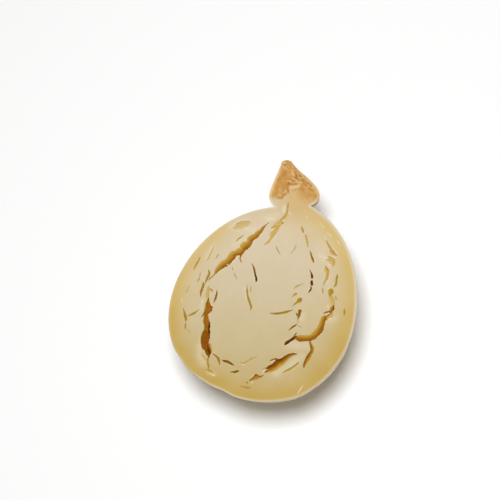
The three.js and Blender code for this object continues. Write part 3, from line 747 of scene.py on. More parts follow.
# Steps along a path, points round a ridge, its least width, how far it is sunk in, its height at no width
# and how that grows with the width, and how uneven its crest is, in waves of what length
SHRED_STEP = 0.7
SHRED_POINTS = 7
SHRED_LEAST = 0.1
SHRED_SINK = 0.5
SHRED_BASE = 0.1
SHRED_SLOPE = 0.28
SHRED_UNEVEN = 0.35
SHRED_LENGTH = 2.5
SHREDS = [
    # Beside the split down the neck, and around the flake below it
    [(18.9, 82.2, 0.4), (18.3, 80.2, 1.4), (17.8, 77.9, 1.5), (17, 75.6, 0.4)],
    [(17.9, 70.2, 0.5), (17.1, 69.6, 1), (16.2, 68.9, 0.4)],
    [(10.9, 63.8, 0.4), (8.9, 62.2, 1), (7, 60.6, 0.3)],
    [(21.9, 77.1, 0.3), (23.1, 74.9, 0.8), (24.8, 73.9, 0.3)],
    [(34.3, 77.8, 0.3), (34.5, 76.9, 0.8), (34.7, 76.1, 0.3)],
    [(36, 72.7, 0.3), (36.3, 71.7, 0.9), (36.7, 70.7, 0.3)],
    # Around the oval flake
    [(-24, 68.4, 0.4), (-22.2, 67.9, 1.1), (-20.4, 68.6, 0.4)],
    [(-25.1, 64.9, 0.3), (-24, 64.3, 0.8), (-23, 63.5, 0.3)],
    [(-21.4, 62.2, 0.4), (-19.4, 61.9, 1), (-17.7, 62.3, 0.3)],
    # Along the lower lip of the long tear
    [(0.5, 60.1, 0.3), (-1.3, 57.8, 0.7), (-2.5, 55.9, 0.8), (-5.2, 54.3, 0.4)],
    [(-6.7, 52.9, 0.3), (-7.4, 50.5, 0.7), (-9.6, 48.6, 0.3)],
    [(-17.9, 41.9, 0.7), (-19.2, 41.2, 0.9), (-20.5, 39.8, 0.7), (-22.6, 37.2, 0.7), (-24.6, 35, 0.3)],
    [(-26.9, 33.7, 0.6), (-27.7, 34.6, 0.9), (-28.4, 35.3, 0.4)],
    [(-28.6, 32.8, 0.3), (-32.3, 30.4, 0.7), (-35.5, 28.1, 0.3)],
    # Along the wide tear at the left
    [(-41, 2.9, 0.5), (-40.4, 2, 1.2), (-39.9, 1.4, 0.4)],
    [(-41.1, -4.1, 0.3), (-41.8, -5.3, 0.7), (-42.4, -6.5, 0.3)],
    [(-48.3, 7.7, 0.4), (-48.1, 5.7, 1.3), (-48, 3.3, 0.4)],
    [(-47.2, -7.8, 0.3), (-47.6, -8.5, 0.8), (-47.9, -9.4, 0.3)],
    [(-49.6, -22.3, 0.3), (-49.7, -26.7, 0.7), (-48.7, -31.1, 0.3)],
    [(-40, -37.8, 0.4), (-40.5, -38.4, 1), (-41.1, -39.3, 0.3)],
    [(-38.5, -36.2, 0.3), (-37.9, -36.7, 0.8), (-37.3, -37.4, 0.3)],
    [(-41.5, -53.1, 0.3), (-39.1, -54.5, 1.1), (-36.7, -55.4, 0.3)],
    # Beside the upright slit and the scratch at the base
    [(-6.7, 26.4, 0.3), (-6.4, 22.2, 0.7), (-5.8, 18.9, 0.3)],
    [(-3.6, 24.6, 0.3), (-3.3, 22.1, 0.7), (-3.3, 19.7, 0.3)],
    [(27.4, -71.2, 0.4), (29.4, -68.9, 0.9), (30.8, -66.5, 0.9), (32.8, -64.2, 0.3)],
    # Around the flakes at the right shoulder
    [(54.8, 39.3, 0.4), (56.3, 38.2, 1), (58.1, 37.5, 0.9), (60.1, 36.9, 0.3)],
    [(51.4, 36.6, 0.3), (52.5, 37, 1.1), (53.6, 37.3, 0.3)],
    [(46.4, 40.6, 0.3), (47.6, 38.9, 1.3), (48.4, 36.8, 0.3)],
    [(48.9, 39, 0.3), (50.2, 37.6, 1.5), (51.2, 36.2, 0.3)],
    [(47.2, 35.5, 0.3), (48.4, 34.9, 1.1), (49.6, 34.4, 0.3)],
    [(52.3, 32.6, 0.4), (54.1, 31.4, 1.2), (55.9, 29.7, 0.4)],
    [(53, 50.5, 0.3), (55.6, 46.9, 0.7), (57.2, 44.2, 0.7), (59.4, 41.6, 0.7), (61.2, 39.2, 0.3)],
    [(51.1, 31.5, 0.3), (52.7, 29.6, 0.8), (54.1, 27.8, 0.3)],
    [(48.3, 28, 0.3), (48.7, 26.9, 0.7), (49.1, 25.9, 0.3)],
    [(46.9, 66.4, 0.3), (48.5, 63.7, 0.8), (50.5, 61.7, 0.3)],
    [(51.9, 58.1, 0.3), (54.4, 56.4, 0.8), (56.8, 53.6, 0.3)],
    [(50.1, 55.1, 0.3), (51.1, 54, 0.7), (52, 52.8, 0.3)],
    [(60.2, 51.7, 0.3), (61.5, 49.3, 1), (63, 47.5, 0.3)],
    # In the broken line of splits
    [(39.1, 20.2, 0.4), (39.7, 20.1, 1.1), (40.4, 20, 0.4)],
    [(37.7, 13.7, 0.3), (36.8, 11.3, 0.7), (36, 8.9, 0.3)],
    # Along the curved tear
    [(53.9, -7.7, 0.4), (52.4, -8.2, 0.8), (50.4, -8.4, 0.3)],
    [(52.2, -0.6, 0.4), (52.5, -2.4, 1.5), (53, -4.4, 0.4)],
    [(52.6, -13.3, 0.4), (53.6, -12.5, 1.3), (54.6, -11.7, 0.4)],
    [(52.1, 12.1, 0.3), (53.4, 12.7, 0.7), (54.7, 12.9, 0.3)],
    [(17.4, -33.8, 0.2), (20.6, -31.8, 0.7), (24.2, -29.4, 0.7), (26.1, -27.9, 0.2)],
    [(32.4, 3.4, 0.3), (31.9, 2.4, 0.7), (31.1, 1.4, 0.3)],
    # Along the slanting tear and the splits near the base
    [(0.3, -53.7, 0.4), (1.5, -52.1, 1.1), (4.5, -51.1, 0.4)],
    [(6.7, -45.5, 0.3), (9, -45, 0.9), (10.5, -44.2, 0.3)],
    [(15.4, -41.8, 0.3), (16.1, -41.2, 0.8), (16.8, -40.7, 0.3)],
    [(-9.2, -61.2, 0.3), (-8, -61.1, 0.9), (-6.7, -61, 0.3)],
    [(-9.6, -57.8, 0.2), (-7.9, -56.5, 0.6), (-6, -55.1, 0.2)],
    [(-26.7, -46.4, 0.2), (-25.1, -47.2, 0.7), (-23.6, -47.9, 0.2)],
    [(-16.4, -47, 0.3), (-14.9, -47, 0.8), (-13.4, -46.7, 0.3)],
    # Near the left rim
    [(-65.2, 9.2, 0.3), (-64.9, 6.7, 0.7), (-64.2, 4.2, 0.3)],
]


def shred_ridge(path, seed):
    """One shred: half an ellipse carried along its path, standing on sunken sides, with an uneven crest."""
    line, run = spline(path, SHRED_STEP)
    width = np.maximum(line[:, 2:], SHRED_LEAST)
    arc = np.linspace(0, np.pi, SHRED_POINTS)[None]
    across = np.hstack([np.cos(arc), [[-1.0, 1.0]]])
    rise = np.hstack([np.sin(arc), [[0.0, 0.0]]])
    sunk = np.hstack([0 * arc, [[1.0, 1.0]]])
    uneven = 1 + SHRED_UNEVEN * waves(np.stack([run, 0 * run], -1), SHRED_LENGTH, seed)[:, None]
    height = (SHRED_BASE + SHRED_SLOPE * width * uneven) * rise - SHRED_SINK * sunk
    flat = line[:, None, :2] - left_of(line[:, :2])[:, None] * (across * width / 2)[..., None]
    points, faces = closed_tube(np.dstack([flat, CUT_HEIGHT + face_ripple(flat) + height]))
    return points, faces, np.zeros(len(points)), SHRED


def work_into(target, name, operation, solids):
    """Sets up a modifier that takes the solids away from the target or adds them to it."""
    group = bpy.data.collections.new(name)
    for number, (points, faces, tones_and_shade, part) in enumerate(solids):
        solid = solid_object(f"{name}_{number}", points, faces, np.full(len(faces), part), tones_and_shade)
        bpy.context.scene.collection.objects.unlink(solid)
        group.objects.link(solid)
    bpy.context.scene.collection.children.link(group)
    change = target.modifiers.new(name, "BOOLEAN")
    change.operation = operation
    change.solver = "MANIFOLD"
    change.operand_type = "COLLECTION"
    change.collection = group
    return group


# The first seeds of the tears, the steps between theirs, and the first seed of the shreds
TEAR_SEED = 100
SEEDS_PER_TEAR = 10
SHRED_SEED = 2000
cutters = [tear_cutter(*tear, TEAR_SEED + SEEDS_PER_TEAR * number) for number, tear in enumerate(TEARS)]
ridges = [shred_ridge(shred, SHRED_SEED + number) for number, shred in enumerate(SHREDS)]
groups = [work_into(cheese, "tear", "DIFFERENCE", cutters), work_into(cheese, "shred", "UNION", ridges)]

# Finishes of the half: ivory paste that turns golden towards the rind and is painted darker towards the base
# as painted shade, a pale edge where the rind is cut that is partly painted highlight, the tan torn head with
# painted shade in its creases and grooves and painted highlight on its ridges, amber walls in the tears that
# darken partly as painted shade, and a smooth beige rind that is browner on the head.


def tint(red, green, blue):
    """A colour as it shows on a screen, from 0 to 255, turned to the linear values that shaders take."""
    shown = np.array([red, green, blue]) / 255
    linear = np.where(shown <= 0.04045, shown / 12.92, ((shown + 0.055) / 1.055) ** 2.4)
    return (*linear, 1.0)


def put(tree, kind, inputs=(), **settings):
    """A shader node with its settings; an input is a value, or another node's output that it is linked to."""
    made = tree.nodes.new(kind)
    for name, value in settings.items():
        setattr(made, name, value)
    for name, value in dict(inputs).items():
        if isinstance(value, bpy.types.NodeSocket):
            tree.links.new(value, made.inputs[name])
        else:
            made.inputs[name].default_value = value
    return made


def blend(tree, share, first, second, way="MIX"):
    """First colour turning to the second as the share goes from 0 to 1."""
    inputs = {0: share, 6: first, 7: second}
    return put(tree, "ShaderNodeMix", inputs, data_type="RGBA", blend_type=way).outputs[2]


def speckle(tree, coords, size, detail=3.0, stretch=(1, 1, 1), turn=(0, 0, 0)):
    """Noise from 0 to 1 with spots of about that size in millimetres, stretched and turned as asked."""
    placed = put(tree, "ShaderNodeMapping", {"Vector": coords, "Scale": stretch, "Rotation": turn})
    noise = put(tree, "ShaderNodeTexNoise",
                {"Vector": placed.outputs[0], "Scale": 1 / (size * MM), "Detail": detail})
    return noise.outputs[0]


def between(tree, value, start, end, low_end=0.0, high_end=1.0):
    """The value's place between start and end, eased at both ends and held beyond them."""
    spread = put(tree, "ShaderNodeMapRange", {0: value, 1: start, 2: end, 3: low_end, 4: high_end},
                 interpolation_type="SMOOTHSTEP")
    return spread.outputs[0]


def combine(tree, first, second, way="ADD"):
    """Two values added, or put together in the other way that is named."""
    return put(tree, "ShaderNodeMath", {0: first, 1: second}, operation=way).outputs[0]


def swing(tree, noise, reach):
    """Noise from 0 to 1 turned to a change around 0 that reaches that far from its lowest to its highest."""
    return combine(tree, combine(tree, noise, 0.5, "SUBTRACT"), reach, "MULTIPLY")


def measure(tree, name):
    """A value stored on the mesh's points or on its faces' corners."""
    return put(tree, "ShaderNodeAttribute", attribute_name=name).outputs["Fac"]


# How far red, green and blue light spread in the cheese, as shares of the depth that light sinks in
SINK_SHARES = (1.0, 0.62, 0.3)
SINK_DEPTH = 2.5


def new_finish(name, roughness, specular, soft):
    """A finish with its shader and object coordinates. Soft is the share of the light that sinks in."""
    finish = bpy.data.materials.new(name)
    finish.use_nodes = True
    tree = finish.node_tree
    shader = tree.nodes["Principled BSDF"]
    shader.inputs["Roughness"].default_value = roughness
    shader.inputs["Specular IOR Level"].default_value = specular
    shader.inputs["Subsurface Weight"].default_value = soft
    shader.inputs["Subsurface Radius"].default_value = SINK_SHARES
    shader.inputs["Subsurface Scale"].default_value = SINK_DEPTH * MM
    coords = put(tree, "ShaderNodeTexCoord").outputs["Object"]
    return finish, tree, shader, coords


def grain(tree, shader, height, distance, strength):
    """Fine bumps that follow a height from 0 to 1, as high as the distance in millimetres, at that
    strength."""
    bump = put(tree, "ShaderNodeBump", {"Strength": strength, "Distance": distance * MM, "Height": height})
    tree.links.new(bump.outputs[0], shader.inputs["Normal"])


# The low ivory and gold are painted darker and the high ones lighter: painted shade along the half
IVORY_LOW_SHADED = tint(188, 170, 124)
IVORY_HIGH_LIT = tint(206, 190, 162)
GOLD_LOW_SHADED = tint(183, 153, 77)
GOLD_HIGH_LIT = tint(203, 173, 94)
# The rim's pale edge colour is partly the cut rind's own and partly painted highlight
RIM_PALE_AND_HIGHLIGHT = tint(211, 198, 174)
HEAD_RIM_PALE = tint(228, 204, 156)
NECK_WARM = tint(201, 169, 110)
TAN = tint(190, 141, 71)
TAN_DARK = tint(168, 116, 48)
TAN_LIGHT = tint(212, 172, 108)
# Painted shade for the head's grooves and pits, and painted highlight for its ridges
GROOVE_SHADE = tint(152, 98, 40)
RIDGE_HIGHLIGHT = tint(224, 190, 144)
# Pale smears, partly paler curd and partly painted highlight
SMEAR_PALE_AND_HIGHLIGHT = tint(218, 204, 174)
# From where to where along the half the low colours turn to the high ones, a painted shade that darkens the
# paste towards the base and lightens it towards the head, and the rim's colour to the head's, how much clouds
# change the ring and the creases' painted shade the tan, and from where to where in that each tan turns to
# the next
PASTE_SHADE_TURNS = (-65 * MM, 70 * MM)
RIM_TURNS = (82 * MM, 90 * MM)
CLOUDS_SHOW = 0.2
CREASE_SHADE_SHOW = 0.26
DARK_TO_TAN = (0.14, 0.54)
TAN_TO_LIGHT = (0.46, 0.84)


def paste_finish():
    """Ivory paste, golden in the ring and warm at the neck, painted darker towards the base as painted shade,
    with pale smears that are partly painted highlight. The torn head over it is tan, mottled by noise and by
    its creases' painted shade, with painted shade in its grooves and painted highlight on its ridges, and the
    cut edge of the rind is pale, partly as painted highlight."""
    finish, tree, shader, coords = new_finish("paste", roughness=0.55, specular=0.15, soft=0.0)
    cloud = speckle(tree, coords, size=18)
    fine = speckle(tree, coords, size=1.6, detail=4.0)
    along = put(tree, "ShaderNodeSeparateXYZ", {0: coords}).outputs[1]
    # Painted shade along the half: the paste is painted darker and yellower towards the base
    painted_light_upward = between(tree, along, *PASTE_SHADE_TURNS)
    ring = combine(tree, measure(tree, "ring"), swing(tree, cloud, CLOUDS_SHOW))
    ivory = blend(tree, painted_light_upward, IVORY_LOW_SHADED, IVORY_HIGH_LIT)
    gold = blend(tree, painted_light_upward, GOLD_LOW_SHADED, GOLD_HIGH_LIT)
    colour = blend(tree, ring, ivory, gold)
    colour = blend(tree, measure(tree, "warm"), colour, NECK_WARM)
    # Pale smears, partly painted highlight on raised lips
    colour = blend(tree, measure(tree, "smear_and_highlight"), colour, SMEAR_PALE_AND_HIGHLIGHT)
    # The tan is mottled and carries the creases' painted shade: darker where they sink, lighter where they
    # rise
    mottle_and_crease_shade = speckle(tree, coords, size=4, detail=5.0, stretch=(1, 0.6, 1), turn=(0, 0, 0.4))
    mottle_and_crease_shade = combine(tree, mottle_and_crease_shade, combine(tree, measure(tree, "crumple_shade"), CREASE_SHADE_SHOW, "MULTIPLY"))
    tan = blend(tree, between(tree, mottle_and_crease_shade, *DARK_TO_TAN), TAN_DARK, TAN)
    tan = blend(tree, between(tree, mottle_and_crease_shade, *TAN_TO_LIGHT), tan, TAN_LIGHT)
    colour = blend(tree, measure(tree, "tan"), colour, tan)
    # Painted shade in the head's grooves and pits, and painted highlight on its ridges
    colour = blend(tree, measure(tree, "groove"), colour, GROOVE_SHADE)
    colour = blend(tree, measure(tree, "ridge"), colour, RIDGE_HIGHLIGHT)
    # The cut rind's pale edge, partly painted highlight
    rim_pale_and_highlight = blend(tree, between(tree, along, *RIM_TURNS), RIM_PALE_AND_HIGHLIGHT, HEAD_RIM_PALE)
    colour = blend(tree, measure(tree, "pale_edge_and_highlight"), colour, rim_pale_and_highlight)
    shade = between(tree, fine, 0.25, 0.75, low_end=0.99, high_end=1.01)
    grey = put(tree, "ShaderNodeCombineColor", {0: shade, 1: shade, 2: shade}).outputs[0]
    colour = blend(tree, 1.0, colour, grey, "MULTIPLY")
    tree.links.new(colour, shader.inputs["Base Color"])
    gloss = between(tree, cloud, 0.3, 0.7, low_end=0.48, high_end=0.62)
    tree.links.new(gloss, shader.inputs["Roughness"])
    grain(tree, shader, fine, distance=0.1, strength=0.25)
    return finish


RIND_LIGHT = tint(228, 215, 186)
RIND_DARK = tint(216, 199, 162)
RIND_STRAND = tint(196, 173, 124)
RIND_SCRATCH = tint(160, 132, 84)
HEAD_RIND_DARK = tint(172, 132, 72)
HEAD_RIND_LIGHT = tint(204, 164, 106)


def rind_finish():
    """Smooth beige rind: cloudy, with faint strands, a few scratches gathered in patches, and a brown
    head."""
    finish, tree, shader, coords = new_finish("rind", roughness=0.42, specular=0.4, soft=0.0)
    cloud = speckle(tree, coords, size=40)
    colour = blend(tree, between(tree, cloud, 0.3, 0.7), RIND_LIGHT, RIND_DARK)
    strand = speckle(tree, coords, size=6, detail=4.0, stretch=(1, 0.08, 0.5))
    strand = between(tree, strand, 0.45, 0.7, low_end=0, high_end=0.22)
    colour = blend(tree, strand, colour, RIND_STRAND)
    scratch = speckle(tree, coords, size=1.4, detail=2.0, stretch=(1, 0.06, 0.3), turn=(0, 0, 0.6))
    scratch = between(tree, scratch, 0.66, 0.76, low_end=0, high_end=0.35)
    patch = between(tree, speckle(tree, coords, size=26, detail=1.0), 0.52, 0.64)
    colour = blend(tree, combine(tree, scratch, patch, "MULTIPLY"), colour, RIND_SCRATCH)
    brown = blend(tree, speckle(tree, coords, size=3), HEAD_RIND_DARK, HEAD_RIND_LIGHT)
    colour = blend(tree, measure(tree, "brown"), colour, brown)
    tree.links.new(colour, shader.inputs["Base Color"])
    fine = speckle(tree, coords, size=1.5, detail=4.0)
    gloss = between(tree, fine, 0.3, 0.7, low_end=0.36, high_end=0.5)
    tree.links.new(gloss, shader.inputs["Roughness"])
    grain(tree, shader, fine, distance=0.15, strength=0.3)
    return finish


SHRED_DARK = tint(215, 198, 164)
SHRED_LIGHT = tint(228, 213, 184)


def shred_finish():
    """Pale shreds, lit through a little, with small spots of two shades."""
    finish, tree, shader, coords = new_finish("shred", roughness=0.55, specular=0.25, soft=0.2)
    colour = blend(tree, speckle(tree, coords, size=2.0), SHRED_DARK, SHRED_LIGHT)
    tree.links.new(colour, shader.inputs["Base Color"])
    return finish


# Wide tears turn amber with depth, and thin splits, lit through the paste, stay yellower: the darker colours
# are partly the torn curd's own and partly painted shade, and the splits' yellower colour partly paints the
# light that comes through the paste. Each colour has its tone.
TEAR_COLOURS_AND_SHADE = [(0.0, tint(202, 181, 135)), (0.25, tint(194, 161, 82)), (0.45, tint(192, 143, 43)),
                (0.62, tint(171, 113, 26)), (0.8, tint(147, 85, 13)), (1.0, tint(110, 47, 5))]
CRACK_COLOURS_AND_SHADE = [(0.0, tint(194, 177, 134)), (0.25, tint(194, 166, 82)), (0.45, tint(180, 146, 42)),
                 (0.62, tint(158, 114, 20)), (0.8, tint(134, 80, 8)), (1.0, tint(104, 44, 4))]
STREAKS_SHOW = 0.16


def torn_finish(name, colours):
    """The wall of a tear: its colours by tone, darker from the lips to the floor partly as painted shade,
    with faint streaks.
    """
    finish, tree, shader, coords = new_finish(name, roughness=0.75, specular=0.05, soft=0.0)
    streaks = speckle(tree, coords, size=2.2, detail=4.0, stretch=(1, 1, 2.5))
    # The tone holds the wall's colour with its painted shade
    tone_and_shade = combine(tree, measure(tree, "tone_and_shade"), swing(tree, streaks, STREAKS_SHOW))
    ramp = put(tree, "ShaderNodeValToRGB", {0: tone_and_shade})
    elements = ramp.color_ramp.elements
    for place, colour in colours[1:-1]:
        elements.new(place)
    for element, (place, colour) in zip(elements, colours):
        element.position = place
        element.color = colour
    tree.links.new(ramp.outputs[0], shader.inputs["Base Color"])
    grain(tree, shader, streaks, distance=0.4, strength=0.35)
    return finish


finishes = [paste_finish(), rind_finish(), torn_finish("tear_wall", TEAR_COLOURS_AND_SHADE),
            torn_finish("crack_wall", CRACK_COLOURS_AND_SHADE), shred_finish()]
for finish in finishes:
    cheese.data.materials.append(finish)
    for group in groups:
        for solid in group.objects:
            solid.data.materials.append(finish)

# The tears are cut out and the shreds joined on for good. Edges stay sharp where the surface bends more than
# this angle, and where a tear or a shred meets another finish.
SHARP_ANGLE = math.radians(38)
depsgraph = bpy.context.evaluated_depsgraph_get()
torn_mesh = bpy.data.meshes.new_from_object(cheese.evaluated_get(depsgraph))
cheese.modifiers.clear()
cheese.data = torn_mesh
for group in groups:
    for solid in list(group.objects):
        bpy.data.objects.remove(solid)
    bpy.data.collections.remove(group)
torn_mesh.polygons.foreach_set("use_smooth", np.ones(len(torn_mesh.polygons), bool))
torn_mesh.set_sharp_from_angle(angle=SHARP_ANGLE)
face_part = read(torn_mesh.polygons, "material_index", np.int32)
side_part = np.repeat(face_part, read(torn_mesh.polygons, "loop_total", np.int32))
side_edge = read(torn_mesh.loops, "edge_index", np.int32)
sharp = read(torn_mesh.edges, "use_edge_sharp", bool)
lowest_part = np.full(len(sharp), SHRED)
highest_part = np.zeros(len(sharp), int)
np.minimum.at(lowest_part, side_edge, side_part)
np.maximum.at(highest_part, side_edge, side_part)
sharp |= (highest_part >= TEAR) & (lowest_part != highest_part)
torn_mesh.edges.foreach_set("use_edge_sharp", sharp)

# How wide and strong the golden ring is, and how pale and wide the rind's cut edge, by the direction from the
# body's middle. The edge's paleness is partly the cut rind's own colour and partly painted highlight,
# strongest on the right and at the top.
RING_TURN = (-180, -150, -120, -90, -60, -30, 0, 30, 60, 75, 90, 120, 150, 180)
RING_WIDTH = (10.5, 12, 14, 14, 15, 15, 12.5, 10.5, 13, 15, 10, 10, 9.5, 10.5)
RING_STRENGTH = (1, 1, 1, 1, 1, 1, 0.85, 0.85, 0.75, 0.5, 0.1, 0.75, 0.75, 1)
EDGE_AND_HIGHLIGHT_STRENGTH = (0.4, 0.4, 0.9, 0.7, 0.7, 0.8, 1, 1, 1, 0.95, 0.9, 0.5, 0.4, 0.4)
EDGE_WIDTH = (2.4, 2.4, 2.4, 2.4, 2.4, 2.5, 3.4, 3.6, 3.6, 2.8, 2.4, 2.4, 2.4, 2.4)
# How pale the edge is on the head, by the place across, how much wider it is there, where its fade starts
# from the outline, the power that the ring falls off with, and where along the half it ends and the head
# begins
HEAD_EDGE_ACROSS = (14, 17, 24, 30, 44)
HEAD_EDGE_STRENGTH = (0.9, 0.3, 0.1, 0.25, 0.6)
HEAD_EDGE_WIDER = 0.5
EDGE_STARTS = -0.4
RING_FALL = 3
RING_ENDS = (66, 82)
HEAD_BEGINS = (82, 88)
# The lower edge of the head's tan face, the far corners that close it, how far it is shaken and in waves of
# what length, and how soft it is, by the place across
TAN_EDGE = [(5, 88.6), (9.7, 89.2), (13.2, 88.4), (15.6, 87.8), (17.2, 88.8), (18, 90.4), (20.1, 91.2),
            (21.8, 92.6), (22.6, 94.6), (23.4, 95.8), (25.4, 97), (28.2, 96.4), (29.6, 94), (30.2, 91.5),
            (32, 88.8), (36, 86), (42, 83.4)]
TAN_CORNERS = [(60, 83.4), (60, 130), (-5, 130), (-5, 88.6)]
TAN_SHAKE = (0.35, 3.0)
TAN_SOFTNESS = ((8, 14, 22.5, 25.5, 29), (2.4, 1.2, 1.0, 2.6, 5.6))
# Darker patches of the head's face: their paths, how far they reach and how strong
HEAD_DARKER = [
    ([(18.4, 110), (20, 104.5), (21.2, 101)], 2.4, 0.7),
    ([(28.2, 105), (30.2, 101.8)], 1.8, 0.8),
]
# How strongly the head's ridges and grooves show in its colour, as painted highlight on the ridges and
# painted shade in the grooves, and where along the half the grooves begin
RIDGE_HIGHLIGHT_SHOW = 0.9
GROOVE_SHADE_SHOW = 0.75
GROOVES_BEGIN = (84, 87)
# Pale smears beside the tears, partly paler flaky curd and partly painted highlight on its raised lips: how
# uneven they are, in waves of what length, then their paths, how far they reach and how strong
SMEARS_UNEVEN = 0.12
SMEARS_LENGTH = 9
SMEARS = [
    ([(31, -42), (22, -48.5), (11, -54.5)], 3.6, 0.4),
    ([(-49.6, -31), (-49.8, -38), (-47, -45)], 3.4, 0.38),
    ([(23, -32.6), (30, -33), (36, -33)], 3.4, 0.34),
    ([(-25, 66.5), (-18.5, 70.2), (-12, 71.6)], 2.6, 0.4),
    ([(-39.6, 50), (-44.6, 42)], 2.4, 0.38),
    ([(4, 72), (12, 74.4)], 3, 0.35),
    ([(-13, 58), (-21.6, 51)], 2.4, 0.4),
    ([(53, -13.4), (57.6, -12)], 2.6, 0.34),
    ([(18.4, 80.6), (18.2, 77)], 1.8, 0.5),
    ([(53, 23), (52, 18)], 1.8, 0.36),
    ([(33, -8), (31.4, -12)], 2, 0.34),
    ([(-13.4, 15), (-12.2, 8)], 1.6, 0.36),
    ([(-43, -52.4), (-38.4, -53.4)], 1.8, 0.36),
    ([(-48.9, 3.4), (-48.6, -1)], 1.8, 0.36),
    ([(47, 40), (52, 36.6)], 2, 0.42),
    ([(7.4, 55), (5.6, 53.4)], 2, 0.36),
    ([(4.6, 70.8), (7.5, 71.4), (10, 71.2)], 1.3, 0.8),
    ([(11, 58), (8.9, 54.6)], 1.1, 0.6),
    ([(-12.4, 64.6), (-7.6, 62.4)], 2.6, 0.5),
]
# Where the head's rind turns brown: below its rim, in shares of half its width, or right of its middle,
# above the neck, with an edge that is uneven in waves of that length
BROWN_UNDER = (0.06, 0.36)
BROWN_ACROSS = (24, 32)
BROWN_ALONG = (79, 85)
BROWN_UNEVEN = 1.6
BROWN_LENGTH = 7
# Where along the half the neck's warm tone begins, how strong it is by the place across, how strong it is
# on the shoulder right of it, and where along and across it comes and goes there
WARM_BEGINS = (62, 84)
WARM_ACROSS = ((2, 14, 24), (0.25, 0.5, 0.92))
SHOULDER_WARM = 0.17
SHOULDER_ALONG = (44, 56, 76, 84)
SHOULDER_ACROSS = (18, 30, 54, 62)


def inside(points, corners):
    """Which points lie in a closed outline, by counting the sides crossed on the way out along +X."""
    crossings = np.zeros(len(points), int)
    for start, end in zip(corners, np.roll(corners, -1, 0)):
        spans = (start[1] > points[:, 1]) != (end[1] > points[:, 1])
        rise = end[1] - start[1] if end[1] != start[1] else 1.0
        crossing = start[0] + (points[:, 1] - start[1]) * (end[0] - start[0]) / rise
        crossings += spans & (points[:, 0] < crossing)
    return crossings % 2 == 1


places = read(torn_mesh.vertices, "co", np.float32, 3).reshape(-1, 3) / MM
flat = places[:, :2]
outline = np.vstack([BASE, left_side, CROWN, right_side[::-1], BASE])
rim = distance_to_path(flat, outline)
turn = np.degrees(np.arctan2(flat[:, 1], flat[:, 0]))
ring_width = np.interp(turn, RING_TURN, RING_WIDTH)
ring = np.interp(turn, RING_TURN, RING_STRENGTH) / (1 + (rim / ring_width) ** RING_FALL)
ring *= 1 - smooth_step(flat[:, 1], *RING_ENDS)
on_head = smooth_step(flat[:, 1], *HEAD_BEGINS)
head_edge = np.interp(flat[:, 0], HEAD_EDGE_ACROSS, HEAD_EDGE_STRENGTH)
# The pale edge is partly painted highlight, strongest on the right and at the top
pale_edge_and_highlight = np.interp(turn, RING_TURN, EDGE_AND_HIGHLIGHT_STRENGTH) * (1 - on_head) + head_edge * on_head
edge_width = np.interp(turn, RING_TURN, EDGE_WIDTH) + HEAD_EDGE_WIDER * on_head
pale_edge_and_highlight *= 1 - smooth_step(rim, EDGE_STARTS, edge_width)
store(torn_mesh, "ring", ring)
store(torn_mesh, "pale_edge_and_highlight", pale_edge_and_highlight)
# Pale smears beside the tears, partly painted highlight
smear_and_highlight = np.zeros(len(flat))
for path, reach, strength in SMEARS:
    smear_and_highlight = np.maximum(smear_and_highlight, strength * bell_along(flat, path, reach))
store(torn_mesh, "smear_and_highlight", smear_and_highlight * (1 + SMEARS_UNEVEN * waves(flat, SMEARS_LENGTH, 47)))
# The head's ridges and grooves, stored for their painted highlight and painted shade
ridge, groove = head_folds(flat)
store(torn_mesh, "ridge", RIDGE_HIGHLIGHT_SHOW * ridge)
store(torn_mesh, "groove", GROOVE_SHADE_SHOW * groove * smooth_step(flat[:, 1], *GROOVES_BEGIN))
# The creases' painted shade on the head's tan, with the darker patches taken off it
crumple_shade = head_crumple(flat)
for path, reach, strength in HEAD_DARKER:
    crumple_shade -= strength * bell_along(flat, path, reach)
store(torn_mesh, "crumple_shade", crumple_shade)
warm = smooth_step(flat[:, 1], *WARM_BEGINS) * np.interp(flat[:, 0], *WARM_ACROSS)
shoulder = smooth_step(flat[:, 1], *SHOULDER_ALONG[:2]) - smooth_step(flat[:, 1], *SHOULDER_ALONG[2:])
shoulder *= smooth_step(flat[:, 0], *SHOULDER_ACROSS[:2]) - smooth_step(flat[:, 0], *SHOULDER_ACROSS[2:])
store(torn_mesh, "warm", warm + SHOULDER_WARM * shoulder)
ragged = shaken(flat, *TAN_SHAKE, 45)
in_tan = inside(ragged, np.array(TAN_EDGE + TAN_CORNERS))
tan_side = np.where(in_tan, 1, -1) * distance_to_path(ragged, TAN_EDGE)
tan_softness = np.interp(flat[:, 0], *TAN_SOFTNESS)
store(torn_mesh, "tan", smooth_step(tan_side, -tan_softness, tan_softness))
half_width = (np.interp(flat[:, 1], right_side[:, 1], right_side[:, 0])
              - np.interp(flat[:, 1], left_side[:, 1], left_side[:, 0])) / 2
under = (CUT_HEIGHT - places[:, 2]) / np.maximum(half_width, 1)
brown = np.maximum(smooth_step(under, *BROWN_UNDER), smooth_step(flat[:, 0], *BROWN_ACROSS))
brown *= smooth_step(flat[:, 1] + BROWN_UNEVEN * waves(places, BROWN_LENGTH, 46), *BROWN_ALONG)
store(torn_mesh, "brown", brown)

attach(cheese, "root")
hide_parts(CHEESE_NODE)

# Studio: a wide pale floor that the half lies on, one large soft lamp almost overhead, and faint warm light
# from all around. Sizes from here on are in metres.
FLOOR_HALF = 3.0
FLOOR_WHITE = (0.94, 0.94, 0.94, 1)
FLOOR_ROUGHNESS = 0.9
FLOOR_SPECULAR = 0.1
floor_corners = [(-FLOOR_HALF, -FLOOR_HALF, 0), (FLOOR_HALF, -FLOOR_HALF, 0),
                 (FLOOR_HALF, FLOOR_HALF, 0), (-FLOOR_HALF, FLOOR_HALF, 0)]
floor_mesh = bpy.data.meshes.new("floor")
floor_mesh.from_pydata(floor_corners, [], [(0, 1, 2, 3)])
floor = bpy.data.objects.new("floor", floor_mesh)
bpy.context.scene.collection.objects.link(floor)
floor_finish = bpy.data.materials.new("floor")
floor_finish.use_nodes = True
floor_shader = floor_finish.node_tree.nodes["Principled BSDF"]
floor_shader.inputs["Base Color"].default_value = FLOOR_WHITE
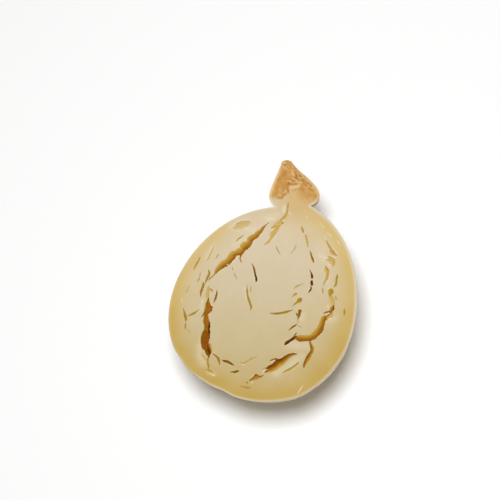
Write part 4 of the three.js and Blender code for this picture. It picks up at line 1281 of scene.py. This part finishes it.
floor_shader.inputs["Roughness"].default_value = FLOOR_ROUGHNESS
floor_shader.inputs["Specular IOR Level"].default_value = FLOOR_SPECULAR
floor_mesh.materials.append(floor_finish)

SURROUND_TINT = (1.0, 0.9, 0.76, 1)
SURROUND_STRENGTH = 0.22
world = bpy.data.worlds.new("studio")
world.use_nodes = True
surround = world.node_tree.nodes["Background"]
surround.inputs["Color"].default_value = SURROUND_TINT
surround.inputs["Strength"].default_value = SURROUND_STRENGTH
bpy.context.scene.world = world

KEY_PLACE = Vector((0.12, 0.0, 2.0))
KEY_SIZE = 0.6
KEY_POWER = 35.5
KEY_TINT = (0.978, 1.0, 1.034)
key_light = bpy.data.lights.new("key", "AREA")
key_light.shape = "DISK"
key_light.size = KEY_SIZE
key_light.energy = KEY_POWER
key_light.color = KEY_TINT
key = bpy.data.objects.new("key", key_light)
key.location = KEY_PLACE
key.rotation_mode = "QUATERNION"
key.rotation_quaternion = (-KEY_PLACE).to_track_quat("-Z", "Y")
bpy.context.scene.collection.objects.link(key)

# Camera: a long lens that looks down on the cut face from far off. It leans a little to the lower right of
# straight above and aims between the body's middle and the neck, so that the half lies in the picture where
# the photograph shows it.
LENS = 120
SENSOR = 36
CAMERA_TILT = math.radians(17)
CAMERA_SIDE = math.radians(30)
CAMERA_REACH = 1.3333
AIM = Vector((-0.0096, 0.0462, CUT_HEIGHT * MM))
lean = math.sin(CAMERA_TILT)
sight = Vector((lean * math.sin(CAMERA_SIDE), -lean * math.cos(CAMERA_SIDE), math.cos(CAMERA_TILT)))
right = Vector((sight.z, 0, -sight.x)).normalized()
up = sight.cross(right)
camera_data = bpy.data.cameras.new("camera")
camera_data.lens = LENS
camera_data.sensor_width = SENSOR
camera = bpy.data.objects.new("camera", camera_data)
camera_turn = Matrix((right, up, sight)).transposed().to_4x4()
camera.matrix_world = Matrix.Translation(AIM + sight * CAMERA_REACH) @ camera_turn
bpy.context.scene.collection.objects.link(camera)
bpy.context.scene.camera = camera
bpy.context.scene.view_settings.view_transform = "Standard"
